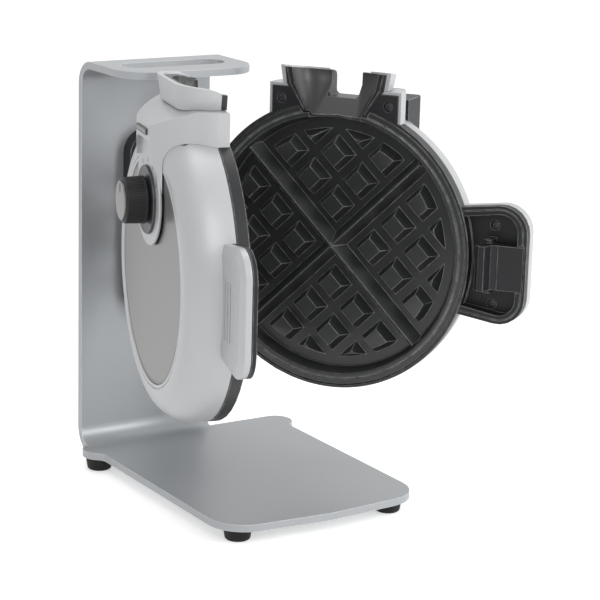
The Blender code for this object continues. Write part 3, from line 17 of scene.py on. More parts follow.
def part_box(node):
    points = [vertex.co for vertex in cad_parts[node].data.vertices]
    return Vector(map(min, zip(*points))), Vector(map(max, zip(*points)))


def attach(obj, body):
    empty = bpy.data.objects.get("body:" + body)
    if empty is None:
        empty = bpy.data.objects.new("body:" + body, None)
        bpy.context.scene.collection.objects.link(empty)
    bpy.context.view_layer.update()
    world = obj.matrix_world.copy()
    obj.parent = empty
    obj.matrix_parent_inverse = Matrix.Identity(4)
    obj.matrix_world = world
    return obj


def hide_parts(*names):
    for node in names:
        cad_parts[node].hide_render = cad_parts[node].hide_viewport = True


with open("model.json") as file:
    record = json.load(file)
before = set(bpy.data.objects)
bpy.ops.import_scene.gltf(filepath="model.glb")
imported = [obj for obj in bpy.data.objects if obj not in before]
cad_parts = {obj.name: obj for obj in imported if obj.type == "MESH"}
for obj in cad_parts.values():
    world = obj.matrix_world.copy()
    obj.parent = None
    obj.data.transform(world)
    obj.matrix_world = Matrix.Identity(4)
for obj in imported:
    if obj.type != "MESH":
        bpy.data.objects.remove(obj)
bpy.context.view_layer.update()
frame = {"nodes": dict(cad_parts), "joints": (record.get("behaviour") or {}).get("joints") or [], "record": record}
joints = {joint["name"]: joint for joint in frame["joints"]}

# %% [markdown]
# Every place on the object hangs from two things: the upright hinge line, which the joints
# give, and the centre of each round half, which the steel disc's box gives. A half is
# described in its own terms: along, from the disc's centre towards the handle; up; and out,
# from the closing plane towards the half's outer face. Two matrices turn those terms into
# world places, so both halves are modelled the same way.

# %% Places: the hinge and the two halves
hinge = Vector(joints["control_swing"]["pos_m"])
disc_height = sum(corner[2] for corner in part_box("lid_disc")) / 2
hinge_to_disc = 0.1425
open_angle = {"control": -radians(14.0), "lid": radians(34.3)}
side_sign = {"control": -1, "lid": 1}


def half_matrix(half):
    """From a half's own space (out, -along, up), with out signed by its side, to the world."""
    turn = Matrix.Rotation(open_angle[half], 4, "Z")
    foot = Matrix.Translation((hinge.x, hinge.y, 0))
    return foot @ turn @ Matrix.Translation((0, -hinge_to_disc, disc_height))


def spot(half, along, up, out):
    return Vector((side_sign[half] * out, -along, up))


print("disc centres:", [half_matrix(half).translation.to_tuple(4) for half in open_angle])

# %% [markdown]
# The camera copies the viewpoint of the photograph: a long lens, a little above the object,
# looking down by fourteen degrees from the front left. A long lens keeps the upright edges
# nearly parallel. Its place is given from the hinge, so it stays right if the CAD moves.

# %% Camera
camera_from_hinge = Vector((-0.7871, -1.4524, 0.5466))
camera_yaw, camera_pitch, camera_roll = radians(32.268), radians(14.119), radians(1.541)
focal_share = 2207.7 / 600

camera_data = bpy.data.cameras.new("camera")
camera_data.sensor_width = 36
camera_data.lens = focal_share * camera_data.sensor_width
camera = bpy.data.objects.new("camera", camera_data)
bpy.context.scene.collection.objects.link(camera)
level = Matrix.Rotation(-camera_yaw, 4, "Z") @ Matrix.Rotation(pi / 2 - camera_pitch, 4, "X")
camera_place = Vector((hinge.x, hinge.y, 0)) + camera_from_hinge
roll = Matrix.Rotation(camera_roll, 4, "Z")
camera.matrix_world = Matrix.Translation(camera_place) @ level @ roll
bpy.context.scene.camera = camera
bpy.context.scene.view_settings.view_transform = "Standard"
print("lens:", round(camera_data.lens, 1), "mm")

# %% [markdown]
# The stage is a plain pale floor under a pale world. The camera, the reflections and the
# glass see a white surround, while the diffuse light is a calmer grey, so that the silver
# paint keeps its shading. One helper chains nodes from now on: it adds a node, sets it up by
# name and links the last one into it. Two more map a value and join two numbers.

# %% World
def chain(tree, source, kind, socket=0, **settings):
    """Add a node, set its properties and inputs, and link the source into it."""
    node = tree.nodes.new(kind)
    for key, value in settings.items():
        if hasattr(node, key):
            setattr(node, key, value)
        else:
            node.inputs[key.replace("_", " ")].default_value = value
    if source is not None:
        tree.links.new(source, node.inputs[socket])
    return node


def fit_range(tree, source, **limits):
    """Map a value from one range to another."""
    return chain(tree, source, "ShaderNodeMapRange", "Value", **limits)


def combine(tree, way, first, second):
    """One number from two."""
    node = chain(tree, first, "ShaderNodeMath", operation=way)
    tree.links.new(second, node.inputs[1])
    return node.outputs[0]


def seen_directly(tree):
    """1 for what the camera sees itself, in a reflection or through glass, and 0 for light."""
    ray = tree.nodes.new("ShaderNodeLightPath").outputs
    seen = ray["Is Camera Ray"]
    for kind in ("Is Glossy Ray", "Is Transmission Ray"):
        seen = combine(tree, "MAXIMUM", seen, ray[kind])
    return seen


white = (1, 1, 1, 1)
light_strength, surround_strength = 0.52, 1.0
world = bpy.data.worlds.new("studio")
bpy.context.scene.world = world
world.use_nodes = True
sky = world.node_tree
sky.nodes.clear()
choose = chain(sky, seen_directly(sky), "ShaderNodeMixShader")
for socket, strength in ((1, light_strength), (2, surround_strength)):
    glow = chain(sky, None, "ShaderNodeBackground", Color=white, Strength=strength)
    sky.links.new(glow.outputs[0], choose.inputs[socket])
chain(sky, choose.outputs[0], "ShaderNodeOutputWorld", "Surface")
print("world nodes:", len(sky.nodes))

# %% [markdown]
# Four soft lamps stand where a studio has them: a key at the front left, a fill at the
# right, a smaller lamp at the front right that draws the edges of the grid, and a strip
# above. Each is an area lamp that is turned towards the object.

# %% Lamps
middle = Vector((0, 0, 0.17))


def add_lamp(name, place, size, power):
    bpy.ops.object.light_add(type="AREA", location=place)
    lamp = bpy.context.object
    lamp.name = name
    lamp.data.shape = "RECTANGLE"
    lamp.data.size, lamp.data.size_y = size
    lamp.data.energy = power
    lamp.rotation_euler = (middle - Vector(place)).to_track_quat("-Z", "Y").to_euler()


add_lamp("key", (-0.9, -1.3, 1.3), (0.9, 0.9), 7)
add_lamp("fill", (1.5, -0.7, 0.7), (0.9, 0.9), 7)
add_lamp("front_right", (0.8, -1.4, 0.9), (0.4, 0.6), 8)
add_lamp("top_strip", (0.0, 0.3, 1.6), (1.2, 0.5), 5)

# %% [markdown]
# A finish is more than a colour. Four effects return on nearly every part of this object, so
# each is a node group with named inputs: a soft cloudy variation, a fine even texture, long
# brushing marks, and a painted highlight that brightens every edge.

# %% Shared effects as node groups
def new_group(name, outputs, **inputs):
    """An empty group with its sockets, its links, its input and output and the place."""
    group = bpy.data.node_groups.new(name, "ShaderNodeTree")
    for label, value in inputs.items():
        kind = "NodeSocketVector" if isinstance(value, tuple) else "NodeSocketFloat"
        socket = group.interface.new_socket(label, in_out="INPUT", socket_type=kind)
        socket.default_value = value
    for label in outputs:
        group.interface.new_socket(label, in_out="OUTPUT", socket_type="NodeSocketFloat")
    entry, leave = group.nodes.new("NodeGroupInput"), group.nodes.new("NodeGroupOutput")
    place = group.nodes.new("ShaderNodeTexCoord").outputs["Object"]
    return group, group.links.new, entry.outputs, leave.inputs, place


def cloud_group():
    group, link, entry, leave, place = new_group(
        "soft_mottle", ["Tone"], Scale=20.0, Low=0.9, High=1.1
    )
    noise = chain(group, place, "ShaderNodeTexNoise", "Vector", Detail=3.0)
    link(entry["Scale"], noise.inputs["Scale"])
    spread = fit_range(group, noise.outputs[0], From_Min=0.3, From_Max=0.7)
    link(entry["Low"], spread.inputs["To Min"])
    link(entry["High"], spread.inputs["To Max"])
    link(spread.outputs[0], leave["Tone"])
    return group


def texture_group():
    group, link, entry, leave, place = new_group(
        "fine_texture", ["Height", "Fleck"], Scale=900.0, Softness=0.5
    )
    noise = chain(group, place, "ShaderNodeTexNoise", "Vector", Detail=2.0)
    link(entry["Scale"], noise.inputs["Scale"])
    link(entry["Softness"], noise.inputs["Roughness"])
    cells = chain(group, place, "ShaderNodeTexVoronoi", "Vector")
    link(entry["Scale"], cells.inputs["Scale"])
    link(noise.outputs[0], leave["Height"])
    fleck = chain(group, cells.outputs["Color"], "ShaderNodeRGBToBW")
    link(fleck.outputs[0], leave["Fleck"])
    return group


def brushing_group():
    group, link, entry, leave, place = new_group(
        "brushed_lines", ["Height", "Tone"], Stretch=(900.0, 900.0, 12.0)
    )
    stretch = chain(group, place, "ShaderNodeVectorMath", operation="MULTIPLY")
    link(entry["Stretch"], stretch.inputs[1])
    for scale, detail, label in ((1.0, 4.0, "Height"), (0.22, 2.0, "Tone")):
        lines = chain(
            group, stretch.outputs[0], "ShaderNodeTexNoise", "Vector", Scale=scale, Detail=detail
        )
        link(lines.outputs[0], leave[label])
    return group


# Painted highlight: this mask finds the edges, where a paler colour stands in for light caught by the rounded
# edge.
def edge_highlight_group():
    """Where a rounded normal departs from the piece's own, an edge is near."""
    group, link, entry, leave, place = new_group(
        "painted_edge_highlight", ["Mask"], Reach=0.0006, Amount=0.8, Break=160.0, Facets=1.0
    )
    shape = chain(group, None, "ShaderNodeNewGeometry")
    rounded = chain(group, entry["Reach"], "ShaderNodeBevel", "Radius", samples=4)
    agree = chain(group, rounded.outputs[0], "ShaderNodeVectorMath", operation="DOT_PRODUCT")
    own_normal = chain(group, entry["Facets"], "ShaderNodeMix", "Factor", data_type="VECTOR")
    link(shape.outputs["Normal"], own_normal.inputs[4])
    link(shape.outputs["True Normal"], own_normal.inputs[5])
    link(own_normal.outputs[1], agree.inputs[1])
    edge = fit_range(group, agree.outputs["Value"], From_Min=0.985, From_Max=0.88)
    link(entry["Amount"], edge.inputs["To Max"])
    gaps = chain(group, place, "ShaderNodeTexNoise", "Vector", Detail=2.0)
    link(entry["Break"], gaps.inputs["Scale"])
    uneven = fit_range(group, gaps.outputs[0], From_Min=0.35, From_Max=0.6, To_Min=0.45)
    link(combine(group, "MULTIPLY", edge.outputs[0], uneven.outputs[0]), leave["Mask"])
    return group


soft_mottle, fine_texture = cloud_group(), texture_group()
brushed_lines, painted_edge_highlight = brushing_group(), edge_highlight_group()
print("effects:", [group.name for group in bpy.data.node_groups])

# %% [markdown]
# Every finish on the object is built by one recipe: a base colour that the mottle makes
# slightly uneven, a paler colour painted as a highlight where the edge mask finds an edge, a
# roughness that varies with the same cloud, and a bump from the fine texture or from brushing.
# The values that are the same all over are set on the Principled shader itself.

# %% The recipe for a finish
def place_group(tree, group, **values):
    node = tree.nodes.new("ShaderNodeGroup")
    node.node_tree = group
    for label, value in values.items():
        node.inputs[label].default_value = value
    return node


def vary(tree, tone, source, share):
    """Multiply a tone by a factor that moves about 1 with the source."""
    factor = fit_range(tree, source, To_Min=1 - share, To_Max=1 + share)
    return combine(tree, "MULTIPLY", tone, factor.outputs[0])


def make_finish(
    name, colour, rough, metallic=0.0, mottle=(18.0, 0.93, 1.06), rough_spread=0.06,
    texture=(900.0, 0.5), bump=0.05, fleck=0.0, edge_glint=None, facets=1.0, brushing=None, own=None,
):
    """Mottle is (scale, low, high), texture (scale, softness), and the painted edge highlight (reach, amount,
    colour).
    """
    material = bpy.data.materials.new(name)
    material.use_nodes = True
    tree, link = material.node_tree, material.node_tree.links.new
    shader = tree.nodes["Principled BSDF"]
    shader.inputs["Metallic"].default_value = metallic
    for socket, value in (own or {}).items():
        shader.inputs[socket].default_value = value
    cloud = place_group(tree, soft_mottle, Scale=mottle[0], Low=mottle[1], High=mottle[2])
    grain = place_group(tree, fine_texture, Scale=texture[0], Softness=texture[1])
    tone, height = cloud.outputs["Tone"], grain.outputs["Height"]
    if fleck:
        tone = vary(tree, tone, grain.outputs["Fleck"], fleck)
    if brushing:
        lines = place_group(tree, brushed_lines, Stretch=brushing[0])
        tone = vary(tree, tone, lines.outputs["Tone"], brushing[1])
        height = lines.outputs["Height"]
    tint = chain(tree, None, "ShaderNodeVectorMath", operation="SCALE")
    tint.inputs[0].default_value = colour
    link(tone, tint.inputs["Scale"])
    base = tint.outputs[0]
    # Painted highlight: the paler colour is blended in where the mask finds an edge.
    if edge_glint:
        glinting = place_group(tree, painted_edge_highlight, Reach=edge_glint[0], Amount=edge_glint[1], Facets=facets)
        blend = chain(tree, glinting.outputs["Mask"], "ShaderNodeMix", "Factor", data_type="RGBA")
        link(base, blend.inputs["A"])
        blend.inputs["B"].default_value = (*edge_glint[2], 1)
        base = blend.outputs["Result"]
    link(base, shader.inputs["Base Color"])
    smooth, coarse = rough - rough_spread, rough + rough_spread
    gloss = fit_range(tree, tone, From_Min=0.85, From_Max=1.15, To_Min=smooth, To_Max=coarse)
    link(gloss.outputs[0], shader.inputs["Roughness"])
    raised = chain(tree, height, "ShaderNodeBump", "Height", Strength=bump, Distance=0.0002)
    link(raised.outputs[0], shader.inputs["Normal"])
    return material


# %% [markdown]
# The object has few finishes. The domes, the hood, the collar and the handles share one satin
# silver paint with fine flakes; the stand has a slightly coarser powder coat; the discs and
# the knob's cap are brushed steel. The mouldings are satin black plastic and the grids are
# cast aluminium under a black non-stick coat, whose thin edges shine with a painted highlight,
# as do the edges of most other finishes.

# %% The finishes
black = (0.013, 0.0135, 0.015)
# Pale colours for the painted highlight along edges.
pale_glint, grey_glint = (0.84, 0.85, 0.86), (0.45, 0.455, 0.465)
smooth_black = dict(mottle=(12.0, 0.95, 1.05), texture=(1500.0, 0.5), bump=0.06)
# Each recipe's edge entry (reach, amount, colour) paints a paler highlight along the edges.
recipes = {
    "silver_paint": dict(
        colour=(0.50, 0.51, 0.52), rough=0.42, metallic=0.25, mottle=(9.0, 0.985, 1.015),
        rough_spread=0.03, fleck=0.025, texture=(2600.0, 0.5), bump=0.02,
        edge_glint=(0.0005, 0.7, pale_glint), own={"Coat Weight": 0.1, "Coat Roughness": 0.3},
    ),
    "stand_metal": dict(
        colour=(0.40, 0.415, 0.43), rough=0.42, metallic=0.4, mottle=(6.0, 0.98, 1.02),
        rough_spread=0.03, fleck=0.03, texture=(2200.0, 0.6), bump=0.03,
        edge_glint=(0.0008, 0.8, pale_glint),
    ),
    "brushed_steel": dict(
        colour=(0.215, 0.215, 0.213), rough=0.36, metallic=1.0, mottle=(8.0, 0.97, 1.03),
        bump=0.08, brushing=((1400.0, 1400.0, 10.0), 0.08), own={"Anisotropic": 0.4},
    ),
    "black_plastic": dict(
        colour=black, rough=0.44, edge_glint=(0.0008, 1.0, grey_glint),
        own={"Specular IOR Level": 0.32}, **smooth_black,
    ),
    "black_moulding": dict(
        colour=black, rough=0.36, edge_glint=(0.0005, 0.9, grey_glint), facets=0.0, **smooth_black,
    ),
    "knob_black": dict(
        colour=(0.012, 0.0125, 0.014), rough=0.48, own={"Specular IOR Level": 0.36},
        **smooth_black,
    ),
    "nonstick": dict(
        colour=(0.026, 0.027, 0.028), rough=0.40, mottle=(14.0, 0.94, 1.06), fleck=0.08,
        texture=(1100.0, 0.7), bump=0.07, edge_glint=(0.0005, 1.0, (0.80, 0.81, 0.82)),
        own={"Coat Weight": 0.2, "Coat Roughness": 0.22},
    ),
    "rubber": dict(
        colour=(0.010, 0.010, 0.0105), rough=0.62, texture=(1300.0, 0.7), bump=0.15,
        edge_glint=(0.0005, 0.6, (0.07, 0.07, 0.072)), own={"Specular IOR Level": 0.30},
    ),
    "steel": dict(
        colour=(0.42, 0.42, 0.42), rough=0.36, metallic=1.0, texture=(1400.0, 0.5), bump=0.10,
    ),
    "dark_metal": dict(
        colour=(0.045, 0.046, 0.05), rough=0.40, metallic=0.4, texture=(1800.0, 0.5),
        edge_glint=(0.0004, 0.7, (0.28, 0.28, 0.29)),
    ),
    "printing": dict(colour=(0.02, 0.02, 0.022), rough=0.55, texture=(1800.0, 0.5), bump=0.03),
}
finishes = {name: make_finish(name, **recipe) for name, recipe in recipes.items()}
node_slot = {part["node"]: part["material_slot"] for part in frame["record"]["subparts"]}
for name, node in frame["nodes"].items():
    node.data.materials.clear()
    node.data.materials.append(finishes[node_slot[name]])
print("finishes:", sorted(finishes), "on", len(node_slot), "CAD nodes")

# %% [markdown]
# The floor is a wide plain plane with a faint cloudiness. Its tone is close to white, and
# where the camera sees it, in a reflection too, a faint glow lifts it to white. It gives the
# object no more light, so the soft shadow stays.

# %% Floor
floor_lift = 0.5
bpy.ops.mesh.primitive_plane_add(size=8, location=(0, 0, 0))
floor = bpy.context.object
floor.name = "floor"
card = make_finish("floor_card", (0.93, 0.93, 0.93), 0.75, mottle=(3.0, 0.99, 1.01), bump=0.02)
sheet = card.node_tree
lift = chain(sheet, seen_directly(sheet), "ShaderNodeMath", operation="MULTIPLY")
lift.inputs[1].default_value = floor_lift
glow = chain(sheet, lift.outputs[0], "ShaderNodeEmission", "Strength", Color=white)
paler = chain(sheet, glow.outputs[0], "ShaderNodeAddShader")
sheet.links.new(sheet.nodes["Principled BSDF"].outputs[0], paler.inputs[1])
sheet.links.new(paler.outputs[0], sheet.nodes["Material Output"].inputs["Surface"])
floor.data.materials.append(card)
print("floor:", floor.dimensions.x, "m wide")

# %% [markdown]
# The pieces are made on a bench, the half's own space, and then seated in the world. The
# bench tools are those of a workshop: draw an outline by extruding a single point, turn it
# on an axis, press it to a thickness, skin it from ring to ring, pick faces to move, carve
# one piece with another, and ease the edges. Each is a thin cover over Blender's operators.

# %% Bench tools
same_spot = 0.000002


def edit(choose="SELECT"):
    """Be in edit mode with everything selected, or nothing."""
    bpy.ops.object.mode_set(mode="EDIT")
    bpy.ops.mesh.select_all(action=choose)


def leave_edit():
    bpy.ops.object.mode_set(mode="OBJECT")


def clear_bench():
    if bpy.context.object and bpy.context.object.mode == "EDIT":
        leave_edit()
    bpy.ops.object.select_all(action="DESELECT")


def take(piece):
    clear_bench()
    piece.select_set(True)
    bpy.context.view_layer.objects.active = piece
    return piece


def join(pieces):
    """Make several pieces one, under the first one's name."""
    take(pieces[0])
    for piece in pieces:
        piece.select_set(True)
    bpy.ops.object.join()
    return pieces[0]


def pick(piece, kind, wanted):
    """Leave a piece in edit mode with only its wanted vertices or faces selected."""
    take(piece)
    edit("DESELECT")
    bpy.ops.mesh.select_mode(type=kind)
    leave_edit()
    for item in piece.data.polygons if kind == "FACE" else piece.data.vertices:
        item.select = wanted(item)
    bpy.ops.object.mode_set(mode="EDIT")


def close_mesh(piece):
    """Merge what lies on the same spot, turn the faces outwards and leave edit mode."""
    edit()
    bpy.ops.mesh.remove_doubles(threshold=same_spot)
    bpy.ops.mesh.normals_make_consistent(inside=False)
    leave_edit()
    return piece


def draw_line(name, points):
    """Extrude one point from place to place; a line that ends where it began closes."""
    clear_bench()
    bpy.ops.mesh.primitive_plane_add(size=0.001)
    piece = bpy.context.object
    piece.name = piece.data.name = name
    edit()
    bpy.ops.mesh.select_mode(type="VERT")
    bpy.ops.mesh.merge(type="CENTER")
    bpy.ops.transform.translate(value=points[0])
    for last, point in zip(points, points[1:]):
        bpy.ops.mesh.extrude_region_move(TRANSFORM_OT_translate={"value": point - last})
    edit()
    bpy.ops.mesh.remove_doubles(threshold=same_spot)
    return piece


def turn_piece(name, half, profile, base=0.0, up=0.0, along=0.0, steps=128):
    """Spin a profile of (radius, distance out from the base) about an axis that points out."""
    points = [spot(half, along, up + radius, base + out) for radius, out in profile]
    piece = draw_line(name, points)
    centre = spot(half, along, up, 0)
    bpy.ops.mesh.spin(steps=steps, angle=2 * pi, center=centre, axis=(1, 0, 0))
    return close_mesh(piece)


def press_piece(name, outline, push):
    """Fill a closed outline and extrude it."""
    piece = draw_line(name, [*outline, outline[0]])
    bpy.ops.mesh.edge_face_add()
    bpy.ops.mesh.extrude_region_move(TRANSFORM_OT_translate={"value": push})
    return close_mesh(piece)


def flat_press(name, half, outline, inner, outer):
    """Press an outline of (along, up) from one distance out to another."""
    points = [spot(half, a, up, inner) for a, up in outline]
    return press_piece(name, points, spot(half, 0, 0, outer - inner))


def box_piece(name, half, wide, up, out, along=0.0):
    """A block as wide to both sides of its middle, between two heights and two depths."""
    left, right, (low, high) = along - wide, along + wide, up
    return flat_press(name, half, [(left, low), (right, low), (right, high), (left, high)], *out)


def funnel_foot(half, wide, low, inner, outer):
    """Room for the funnel's foot, which spreads towards the rim."""
    outline = [(-wide, low), (wide, low), (0.0330, 0.1100), (-0.0330, 0.1100)]
    return flat_press("funnel_foot", half, outline, inner, outer)


def round_line(centre, radius, first, last, steps):
    """Points on a circle, from one angle to another, for rounded corners."""
    turns = [first + step / steps * (last - first) for step in range(steps + 1)]
    return [(centre[0] + radius * cos(turn), centre[1] + radius * sin(turn)) for turn in turns]


def skin_piece(name, rings):
    """Bridge closed rings in turn and fill the two ends."""
    piece = join([draw_line(name, [*ring, ring[0]]) for ring in rings])
    edit()
    bpy.ops.mesh.bridge_edge_loops()
    edit()
    bpy.ops.mesh.fill_holes(sides=0)
    return close_mesh(piece)


def work(piece, kind, **settings):
    """Apply one modifier."""
    take(piece)
    modifier = piece.modifiers.new(kind.lower(), kind)
    for key, value in settings.items():
        setattr(modifier, key, value)
    bpy.ops.object.modifier_apply(modifier=modifier.name)
    return piece


def carve(piece, tool, way="DIFFERENCE"):
    work(piece, "BOOLEAN", operation=way, object=tool, solver="EXACT")
    bpy.data.objects.remove(tool)
    return piece


def bevel(piece, width, segments, angle, **more):
    """Round the edges where two faces meet at more than an angle."""
    return work(
        piece, "BEVEL", width=width, segments=segments, limit_method="ANGLE",
        angle_limit=radians(angle), **more,
    )


def ease(piece, width, segments=2, angle=40):
    """Round the edges, then shade so that flat faces stay flat."""
    if width:
        bevel(piece, width, segments, angle, miter_outer="MITER_ARC")
    take(piece)
    bpy.ops.object.shade_smooth_by_angle(angle=radians(40))
    return work(piece, "WEIGHTED_NORMAL", keep_sharp=True)


def copy_node(node, name):
    """A loose copy of a CAD node, its triangles merged back into whole faces."""
    clear_bench()
    piece = bpy.data.objects.new(name, frame["nodes"][node].data.copy())
    bpy.context.scene.collection.objects.link(piece)
    take(piece)
    edit()
    bpy.ops.mesh.remove_doubles(threshold=0.000005)
    bpy.ops.mesh.dissolve_limited(angle_limit=radians(0.8))
    leave_edit()
    return piece


def hand_over(piece, body, finish, *nodes):
    """Give a finished piece its material, its body and the CAD nodes it stands for."""
    piece.data.materials.clear()
    piece.data.materials.append(finishes[finish])
    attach(piece, body)
    if nodes:
        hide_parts(*nodes)
    print(piece.name, "rides on", body, "with", len(piece.data.polygons), "faces")


def to_world(piece, half):
    """Move a bench piece to its half's place in the world."""
    take(piece)
    piece.matrix_world = half_matrix(half)
    bpy.ops.object.transform_apply()
    return piece


def seat(piece, half, finish, *nodes, body=None):
    """Move a bench piece into place and hand it over."""
    hand_over(to_world(piece, half), body or f"{half}_half", finish, *nodes)


def outs(half, piece):
    """How far out each vertex of a piece in the world lies."""
    bench = half_matrix(half).inverted()
    return [(bench @ vertex.co).x * side_sign[half] for vertex in piece.data.vertices]


# %% [markdown]
# The grid plate is a shallow round pan of cast aluminium. Two ridges cross it and square
# tapered blocks stand in the four quarters, each with soft edges that catch the light. The
# pan is turned, the blocks are cubes with their front faces shrunk, cut off by a cone where
# they meet the round edge, and a gate at the top lets the batter in.

# %% Grid plates
cavity_floor, plate_face, block_face = 0.0115, 0.0008, 0.0023
pan_root = cavity_floor + 0.001
block_first, block_pitch, block_base, block_top = 0.02125, 0.02675, 0.0208, 0.0126
rib_half, rib_crest, rib_face = 0.0068, 0.0005, 0.0014
cells = [(i, j) for i in range(3) for j in range(3) if i + j < 4]
fine_steps = 160


def block_at(half, run, across):
    """One tapered block, its root just under the pan's floor."""
    clear_bench()
    bpy.ops.mesh.primitive_cube_add(size=1)
    block = bpy.context.object
    block.scale = (pan_root - block_face, block_base, block_base)
    bpy.ops.object.transform_apply()
    pick(block, "FACE", lambda face: face.normal.x * side_sign[half] < -0.9)
    share = block_top / block_base
    bpy.ops.transform.resize(value=(1, share, share))
    leave_edit()
    block.location = (side_sign[half] * (pan_root + block_face) / 2, run, across)
    return block


def make_blocks(half):
    """All blocks of a plate in one mesh, each quarter turned on from the last."""
    places = [(block_first + block_pitch * i, block_first + block_pitch * j) for i, j in cells]
    quarter = join([block_at(half, run, across) for run, across in places])
    bpy.ops.object.transform_apply()
    edit()
    bpy.ops.mesh.normals_make_consistent(inside=False)
    for _ in range(3):
        bpy.ops.mesh.duplicate()
        bpy.ops.transform.rotate(value=pi / 2, orient_axis="X", center_override=(0, 0, 0))
    edit()
    bpy.ops.transform.rotate(value=pi / 4, orient_axis="X", center_override=(0, 0, 0))
    leave_edit()
    return quarter


def make_rib(half, turn):
    """A ridge right across the plate, pressed from its tapered section and turned."""
    reach = 0.0955
    section = [
        (-rib_half, pan_root), (-rib_crest, rib_face), (rib_crest, rib_face), (rib_half, pan_root),
    ]
    outline = [Vector((side_sign[half] * out, -reach, width)) for width, out in section]
    rib = press_piece("rib", outline, Vector((0, 2 * reach, 0)))
    take(rib)
    rib.rotation_euler.x = turn
    bpy.ops.object.transform_apply()
    return rib


def make_plate(half):
    pan_profile = [
        (0, cavity_floor), (0.0930, cavity_floor), (0.0938, 0.0112), (0.0943, 0.0104),
        (0.0968, 0.0022), (0.0973, 0.0012), (0.0982, plate_face), (0.0999, plate_face),
        (0.1004, 0.0011), (0.1006, 0.0016), (0.1012, 0.0016), (0.1014, 0.0011),
        (0.1019, plate_face), (0.1050, plate_face), (0.1056, 0.0012), (0.1058, 0.0018),
        (0.1058, 0.0035), (0.0972, 0.0035), (0.0972, 0.0115), (0.0955, 0.0137), (0, 0.0137),
    ]
    plate = turn_piece(f"{half}_waffle_plate", half, pan_profile, steps=fine_steps)
    blocks = make_blocks(half)
    keep_back = cavity_floor + 0.0009
    keep = [(0, 0.0003), (0.0818, 0.0003), (0.0868, keep_back), (0, keep_back)]
    carve(blocks, turn_piece("blocks_edge", half, keep, steps=fine_steps), "INTERSECT")
    bevel(blocks, 0.0005, 3, 25)
    ribs = make_rib(half, pi / 4)
    carve(ribs, make_rib(half, -pi / 4), "UNION")
    bevel(ribs, 0.0004, 2, 25)
    carve(plate, blocks, "UNION")
    carve(plate, ribs, "UNION")
    carve(plate, funnel_foot(half, 0.0256, 0.0975, -0.002, 0.0137))
    carve(plate, box_piece("gate", half, 0.0205, (0.0905, 0.108), (-0.002, 0.0052)))
    take(plate)
    bpy.ops.object.shade_smooth_by_angle(angle=radians(14))
    seat(plate, half, "nonstick", f"{half}_grid_plate")


for half in side_sign:
    make_plate(half)

# %% [markdown]
# The dome is a spun shell: a broad round shoulder that falls from the face to the rim. The
# profile is a superellipse, fuller than a circle, as in the photograph. A small rolled lip
# holds the steel disc, which is a thin plate sunk into it and brushed upright.

# %% Domes and discs
rim_radius, shell_foot, shell_face = 0.108, 0.0096, 0.0418
lip_radius, disc_radius, disc_sunk = 0.0835, 0.080, 0.0008
knob_up, shaft_radius = 0.0505, 0.0042


def shaft_room(half, high, low):
    """A round tool where the knob's shaft passes through."""
    profile = [(0, high), (shaft_radius, high), (shaft_radius, low), (0, low)]
    return turn_piece("shaft_room", half, profile, up=knob_up, steps=48)


def dome_shoulder(inset=0.0, steps=28):
    """The shoulder as (radius, out), from the foot at the rim to the lip round the disc."""
    points, share = [], 2 / 2.35
    for step in range(steps + 1):
        turn = step / steps * pi / 2
        radius = lip_radius + (rim_radius - lip_radius) * cos(turn) ** share
        out = shell_foot + (shell_face - shell_foot) * sin(turn) ** share
        points.append((radius - inset * cos(turn), out - inset * sin(turn)))
    return points


def make_disc(half):
    face, groove, thick = shell_face - disc_sunk, disc_radius - 0.0017, 0.0011
    ring = [
        (0, 0), (groove - 0.0005, 0), (groove, -0.0004), (groove + 0.0005, 0),
        (disc_radius - 0.0004, 0), (disc_radius, -0.0004), (disc_radius, -thick), (0, -thick),
    ]
    disc = turn_piece(f"{half}_steel_disc", half, ring, face, steps=fine_steps)
    if half == "control":
        carve(disc, shaft_room(half, face + 0.002, face - 0.004))
    ease(disc, 0)
    seat(disc, half, "brushed_steel", f"{half}_disc")


for half in side_sign:
    make_disc(half)


def dome_block(half, inset):
    """The solid space of the rim and the dome, to seat other pieces on it."""
    profile = [(0, -0.002), (rim_radius, -0.002), (rim_radius, shell_foot)]
    profile += dome_shoulder(inset) + [(0, shell_face - inset)]
    return turn_piece("dome_block", half, profile)


def make_dome(half):
    """The turned shell with a window at the top for the funnel's foot."""
    lip, seat_back = disc_radius + 0.0003, 0.0376
    brim, sunk = shell_face - 0.0001, shell_face - disc_sunk
    profile = dome_shoulder()[:-1] + [
        (0.0836, brim), (0.0833, sunk), (0.0829, sunk), (0.0826, brim), (0.0822, shell_face),
        (lip + 0.0006, shell_face), (lip + 0.0001, shell_face - 0.0003), (lip, sunk),
        (lip, 0.0396), (0.0740, 0.0396), (0.0740, seat_back), (lip, seat_back),
    ]
    inner = reversed(dome_shoulder(0.002))
    profile += [(radius, min(out, seat_back)) for radius, out in inner if radius > lip]
    dome = turn_piece(f"{half}_dome", half, [*profile, profile[0]], steps=fine_steps)
    window = box_piece("window", half, 0.0425, (0.0950, 0.110), (0.0073, shell_face))
    return carve(dome, window)


control_dome = make_dome("control")
ease(control_dome, 0)
seat(control_dome, "control", "silver_paint", "control_shell")

# %% [markdown]
# The neck over each half is a hollow moulding round the funnel. Seen from above, its wall
# runs in one smooth sweep from the closing plane to a narrow front face, so its outline is
# drawn as a curve through a few known points and pressed upwards. Then the sloping roof, the
# room for the dome and the room for the funnel are carved out.

# %% Neck mouldings
def smooth_line(points, steps=6):
    """A Catmull-Rom curve through the points, as a list of pairs."""
    ends = [points[0], *points, points[-1]]
    line = []
    for a, b, c, d in zip(ends, ends[1:], ends[2:], ends[3:]):
        for step in range(steps):
            t = step / steps
            weights = (
                -t / 2 + t * t - t**3 / 2, 1 - 2.5 * t * t + 1.5 * t**3,
                t / 2 + 2 * t * t - 1.5 * t**3, (t**3 - t * t) / 2,
            )
            line.append(tuple(sum(w * p[k] for w, p in zip(weights, (a, b, c, d))) for k in (0, 1)))
    return [*line, points[-1]]


